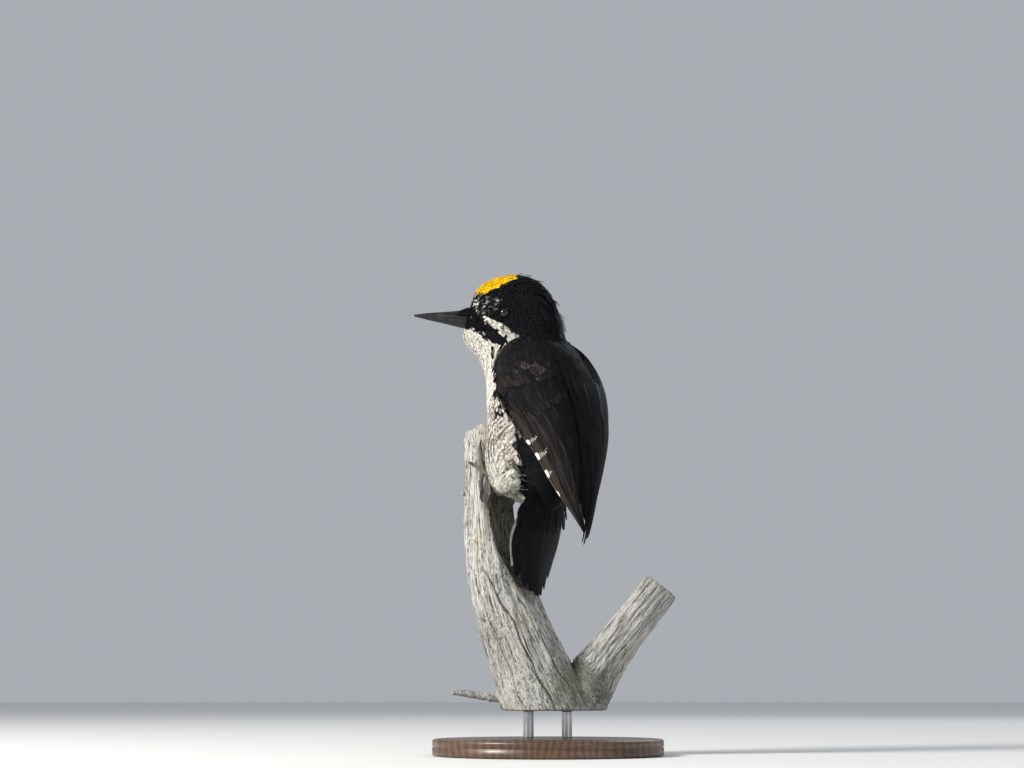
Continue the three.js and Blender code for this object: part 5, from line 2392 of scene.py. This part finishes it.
    def cracks(self, local: Array, grain: Array, turn: Array, on_arm: Array) -> Array:
        """Long drying cracks, 0 to 1, at places with their grain, turn and share in the arm.

        Args:
            local: Places in the snag's frame.
            grain: The grain at each.
            turn: Turns round it.
            on_arm: Whether it is on the arm.

        Returns:
            How deep in a crack each is, 0 to 1.
        """
        total = np.zeros(len(local))
        radius = np.hypot(grain[:, 0], grain[:, 1])
        for split in self.splits:
            heights, turns, width = split.heights, split.turns, split.width
            place = np.interp(local[:, 2], heights, turns) + 0.02 * np.sin(grain[:, 2] / 3.7 + turns[0])
            off = np.abs(np.angle(np.exp(1j * (turn - place)))) * radius
            taper = ease(heights[0] - 4, heights[0] + 6, local[:, 2])
            taper = taper * ease(heights[-1] + 4, heights[-1] - 14, local[:, 2])
            belongs = on_arm if split.on_arm else 1 - on_arm
            depth = min(1.0, width / 0.36)
            total = np.maximum(total, ease(width + 0.45, width * 0.4, off) * taper * belongs * depth)
        return total


@dataclass
class Foot(Sided):
    """One foot's shank, toes and claws."""

    snag: Snag
    ankle: Triple = (17, 17.5, 120.5)
    heel: Triple = (60, 129.5, 3.0)
    shank_radii: Many = (1.45, 1.2, 1.6)
    toe_radii: Many = (1.25, 1.2, 0.95)
    claw_radii: Many = (0.8, 0.78, 0.6, 0.1)
    # knuckles on the wood: degrees round from the side facing the bird, height and lift
    toes: Sequence[tuple[str, Any]] = (
        ("inner", ((64, 136, 2.0), (63, 142.5, 1.35), (62, 147, 2.0), (61, 149.6, 0.4))),
        ("outer", ((69, 131.8, 2.0), (83, 134, 1.35), (94, 135.8, 2.0), (102, 136.2, 0.4))),
        ("hind", ((68, 122.5, 1.9), (69, 117, 1.35), (70, 113, 2.0), (71, 111.2, 0.4))))

    def on_wood(self, knuckle: Triple) -> Array:
        """A knuckle's place in the part's frame."""
        turn = STANCE.turn + math.pi - self.side * math.radians(knuckle[0])
        return self.snag.stem_point(turn, *knuckle[1:]) + np.array(STANCE.snag)

    @staticmethod
    def scaly(name: str, skin: Material, path: Sequence[Array], radii: Many, steps: int) -> Any:
        """A scaly limb with pads at its joints.

        Args:
            name: The object's name.
            skin: Its finish.
            path: Points on its middle line.
            radii: A radius for each.
            steps: How many lengths it is divided into.

        Returns:
            The object.
        """
        sides = 20
        rings = tube(np.array(path), radii, steps, sides)
        middle = rings.mean(1, keepdims=True)
        s = np.linspace(0, 1, steps + 1)
        length = np.linalg.norm(np.diff(middle[:, 0], axis=0), axis=1).sum()
        joints = 1 + 0.10 * np.cos(s * 2 * math.pi * 2)[:, None, None]
        rings = middle + (rings - middle) * joints
        points, faces = lofted(rings)
        turn = np.abs(np.linspace(-1, 1, sides))
        vane = np.stack(np.broadcast_arrays(s[:, None] * length, turn[None], 0.5), -1).reshape(-1, 3)
        vane = np.concatenate([vane, [[0, 0, 0.5], [length, 0, 0.5]]])
        return one_piece(name, skin, points, faces, fixed, vane=vane)

    def build(self, skin: Material, horn: Material) -> dict[str, Any]:
        """The foot's pieces by the node that each stands for.

        Args:
            skin: The skin's finish.
            horn: The horn's finish.

        Returns:
            The objects by node.
        """
        ankle = STANCE.from_bird(np.array(self.ankle) * (1, self.side, 1))
        heel = self.on_wood(self.heel)
        path = (ankle, (ankle + heel) / 2, heel)
        shank = self.scaly(f"shank_{self.name}", skin, path, self.shank_radii, 26)
        made = {f"tarsus_{self.name}": shank}
        for toe, knuckles in self.toes:
            first, second, bend, tip = (self.on_wood(k) for k in knuckles)
            part = f"{toe}_{self.name}"
            made[f"toe_{part}"] = self.scaly(f"digit_{part}", skin, (heel, first, second), self.toe_radii,
                30)
            root = second + (first - second) * 0.12
            sharp = tip + (tip - bend) * 0.12
            arch = (root + bend) / 2 + (bend - (root + tip) / 2) * 0.35
            rings = tube(np.array([root, arch, bend, sharp]), self.claw_radii, 26, 16)
            made[f"claw_{part}"] = one_piece(f"talon_{part}", horn, *lofted(rings), fixed)
        return made


# --- stand and studio


@dataclass(frozen=True)
class Stand:
    """The turned base and its rods, at their packed places."""

    bevel: float = 1.6
    sides: int = 160

    def build(self, wood: Material, steel: Material) -> dict[str, Any]:
        """The pieces by the node that each stands for."""
        base = {"stand_base": self.turned("stand_base", wood)}
        return base | {name: self.rod(name, steel) for name in ("stand_rod_left", "stand_rod_right")}

    def lathe(self, name: str, node: str, profile: Sequence[Pair], material: Material) -> Any:
        """A round piece on a node's axis; profile is of radius and height, in millimetres.

        Args:
            name: The object's name.
            node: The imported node.
            profile: Radius and height of each ring.
            material: Its finish.

        Returns:
            The object.
        """
        low, high = box_of(node)
        centre = (low + high) / 2
        turn = circle(self.sides)
        rings = [np.stack([centre[0] + r * np.cos(turn), centre[1] + r * np.sin(turn),
            low[2] + h + 0 * turn], -1) for r, h in profile]
        return one_piece(name, material, *lofted(np.array(rings)), fixed)

    def turned(self, node: str, wood: Material) -> Any:
        """The base, with an eased foot, a shallow groove and a rounded top edge.

        Args:
            node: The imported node.
            wood: The wood's finish.

        Returns:
            The object.
        """
        low, high = box_of(node)
        radius, height = (high[0] - low[0]) / 2, high[2] - low[2]
        profile = [(radius * 0.5, 0), (radius - 0.6, 0), (radius - 0.15, 0.15), (radius, 0.6)]
        profile += [(radius, 4.2), (radius - 0.5, 4.6), (radius - 0.5, 5.0), (radius, 5.4)]
        for angle in np.linspace(0, math.pi / 2, 9):
            edge = radius - self.bevel + self.bevel * math.cos(angle)
            profile.append((edge, height - self.bevel + self.bevel * math.sin(angle)))
        profile += [(radius - 6, height), (radius - 6.4, height - 0.35), (radius - 6.8, height)]
        profile.append((radius * 0.4, height))
        return self.lathe("base_turned", node, profile, wood)

    def rod(self, node: str, steel: Material) -> Any:
        """One rod with softened ends.

        Args:
            node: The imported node.
            steel: The rods' finish.

        Returns:
            The object.
        """
        low, high = box_of(node)
        radius, length = (high[0] - low[0]) / 2, high[2] - low[2]
        profile = [(radius - 0.3, 0), (radius, 0.3)]
        profile += [(radius, h) for h in np.linspace(0.6, length - 0.6, 6)]
        profile += [(radius, length - 0.3), (radius - 0.3, length)]
        return self.lathe(node.removeprefix("stand_"), node, profile, steel)


class Lamp(Enum):
    """The studio's soft lamps: place, size (metres), strength (watts) and warmth."""

    KEY = ((-1.5, -0.85, 1.1), 0.6, 52.0, (1.0, 0.96, 0.90))
    FILL = ((1.2, -1.7, 0.6), 1.2, 5.0, (0.90, 0.95, 1.0))
    RIM = ((0.8, 1.4, 1.1), 0.8, 4.0, (0.88, 0.94, 1.0))


@dataclass(frozen=True)
class Studio:
    """Camera, pale floor and soft light."""

    eye: Triple = (-0.02052, -1.030, 0.033)
    pitch: float = math.radians(100)
    lens: float = 62.23
    sensor: float = 36.0
    nearest: float = 0.01
    aim: Triple = (0.0, 0.0, 0.17)  # of the lamps
    floor_rings: Many = (0.05, 0.4, 1.5, 9.0)  # metres
    floor_drop: float = 0.0004
    sky: Colour = (0.80, 0.84, 0.90)
    sky_light: float = 0.50

    def build(self) -> None:
        """Makes the camera first, then the floor, the world and the lamps."""
        scene = bpy.context.scene
        data = bpy.data.cameras.new("camera")
        data.lens, data.sensor_width = self.lens, self.sensor
        data.clip_start = self.nearest
        camera = bpy.data.objects.new("camera", data)
        camera.location, camera.rotation_euler = self.eye, (self.pitch, 0, 0)
        scene.collection.objects.link(camera)
        scene.camera = camera
        surface = Surface()
        turn = circle(64)
        rings = np.array([np.stack([r * np.cos(turn), r * np.sin(turn), 0 * turn],
            -1) for r in np.array(self.floor_rings) / MM])
        surface.add(rings, sheet_faces(len(rings), len(turn), closed=True))
        surface.faces.append(np.arange(len(turn))[None])
        floor = surface.made("floor", Plain("floor_paper").made(), place=fixed)
        floor.location.z = -self.floor_drop
        world = bpy.data.worlds.new("studio")
        world.use_nodes = True
        backdrop = world.node_tree.nodes["Background"]
        backdrop.inputs["Color"].default_value = (*self.sky, 1)
        backdrop.inputs["Strength"].default_value = self.sky_light
        scene.world = world
        scene.view_settings.view_transform = "Standard"
        for lamp in Lamp:
            place, size, watts, warmth = lamp.value
            light = bpy.data.lights.new(f"lamp_{lamp.name.lower()}", "AREA")
            light.shape, light.size, light.energy, light.color = "DISK", size, watts, warmth
            holder = bpy.data.objects.new(light.name, light)
            holder.location = place
            aim = Vector(self.aim) - Vector(place)
            holder.rotation_euler = aim.to_track_quat("-Z", "Y").to_euler()
            scene.collection.objects.link(holder)


def seat(piece: Any, slot: str, *nodes: str) -> None:
    """Rides a piece on the only body, and hides the nodes it stands for.

    Args:
        piece: The piece.
        slot: Not used.
        nodes: The nodes.
    """
    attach(piece, "root")
    if nodes:
        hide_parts(*nodes)
    log.info("%s: %d faces", piece.name, len(piece.data.polygons))


def main() -> None:
    """Builds every sub-assembly in order."""
    logging.basicConfig(level=logging.INFO)
    Studio().build()
    plumage = Plumage("plumage").made()
    quill = BarredQuill("quill").made()
    horn = Horn("bill_horn").made()
    claw = Horn("claw_horn", deep=(0.010, 0.010, 0.010), pale=(0.05, 0.048, 0.045)).made()

    eyes = Eyes()
    for ball in eyes.build(EyeGloss("eye_gloss").made()):
        seat(ball, "eye", ball.name.removesuffix("_ball"))

    body = Body(eyes)
    head_coat, head_roots = body.dress_head(plumage)
    body_coats, body_roots = body.dress_body(plumage)
    seat(head_coat, "plumage_head")
    for coat in body_coats:
        seat(coat, "plumage_body")
    seat(body.dress_thighs(plumage), "plumage_body")
    skin = body.marked_skin(head_roots.joined(body_roots), plumage)
    seat(skin, "plumage_body", "head", "neck", "trunk", "thigh_left", "thigh_right")
    seat(eyes.dress(plumage), "plumage_head")

    bill = Bill()
    for node, piece in bill.build(horn).items():
        seat(piece, "bill", node)
    seat(bill.dress(plumage, body.rng), "plumage_head")

    wings = [Wing(1, 0.0), Wing(-1, 6.0, sway=(2.1, 1.7))]
    shoulders = Shoulders(wings)
    for wing in wings:
        quills, core = wing.build(quill, plumage)
        seat(quills, "plumage_wing", f"wing_{wing.name}")
        seat(core, "plumage_wing")
        seat(wing.dress(quill), "plumage_wing")
        seat(shoulders.dress(wing, plumage), "plumage_body")
    seat(shoulders.build(plumage), "plumage_body")
    seat(shoulders.long_feathers(quill), "plumage_wing")

    tail = Tail()
    seat(tail.build(quill), "plumage_tail", "tail")
    seat(tail.dress(plumage, body.rng), "plumage_tail")

    snag = Snag()
    seat(snag.build(Weathered("weathered_wood").made()), "snag_wood", "perch_snag")
    scales = LegSkin("leg_skin").made()
    for side in (1, -1):
        for node, piece in Foot(side, snag).build(scales, claw).items():
            seat(piece, "claw_horn" if node.startswith("claw") else "leg_skin", node)

    for node, piece in Stand().build(Turned("base_wood").made(), Steel("rod_steel").made()).items():
        seat(piece, "rod_steel" if "rod" in node else "stand_wood", node)


if __name__ == "__main__":
    main()
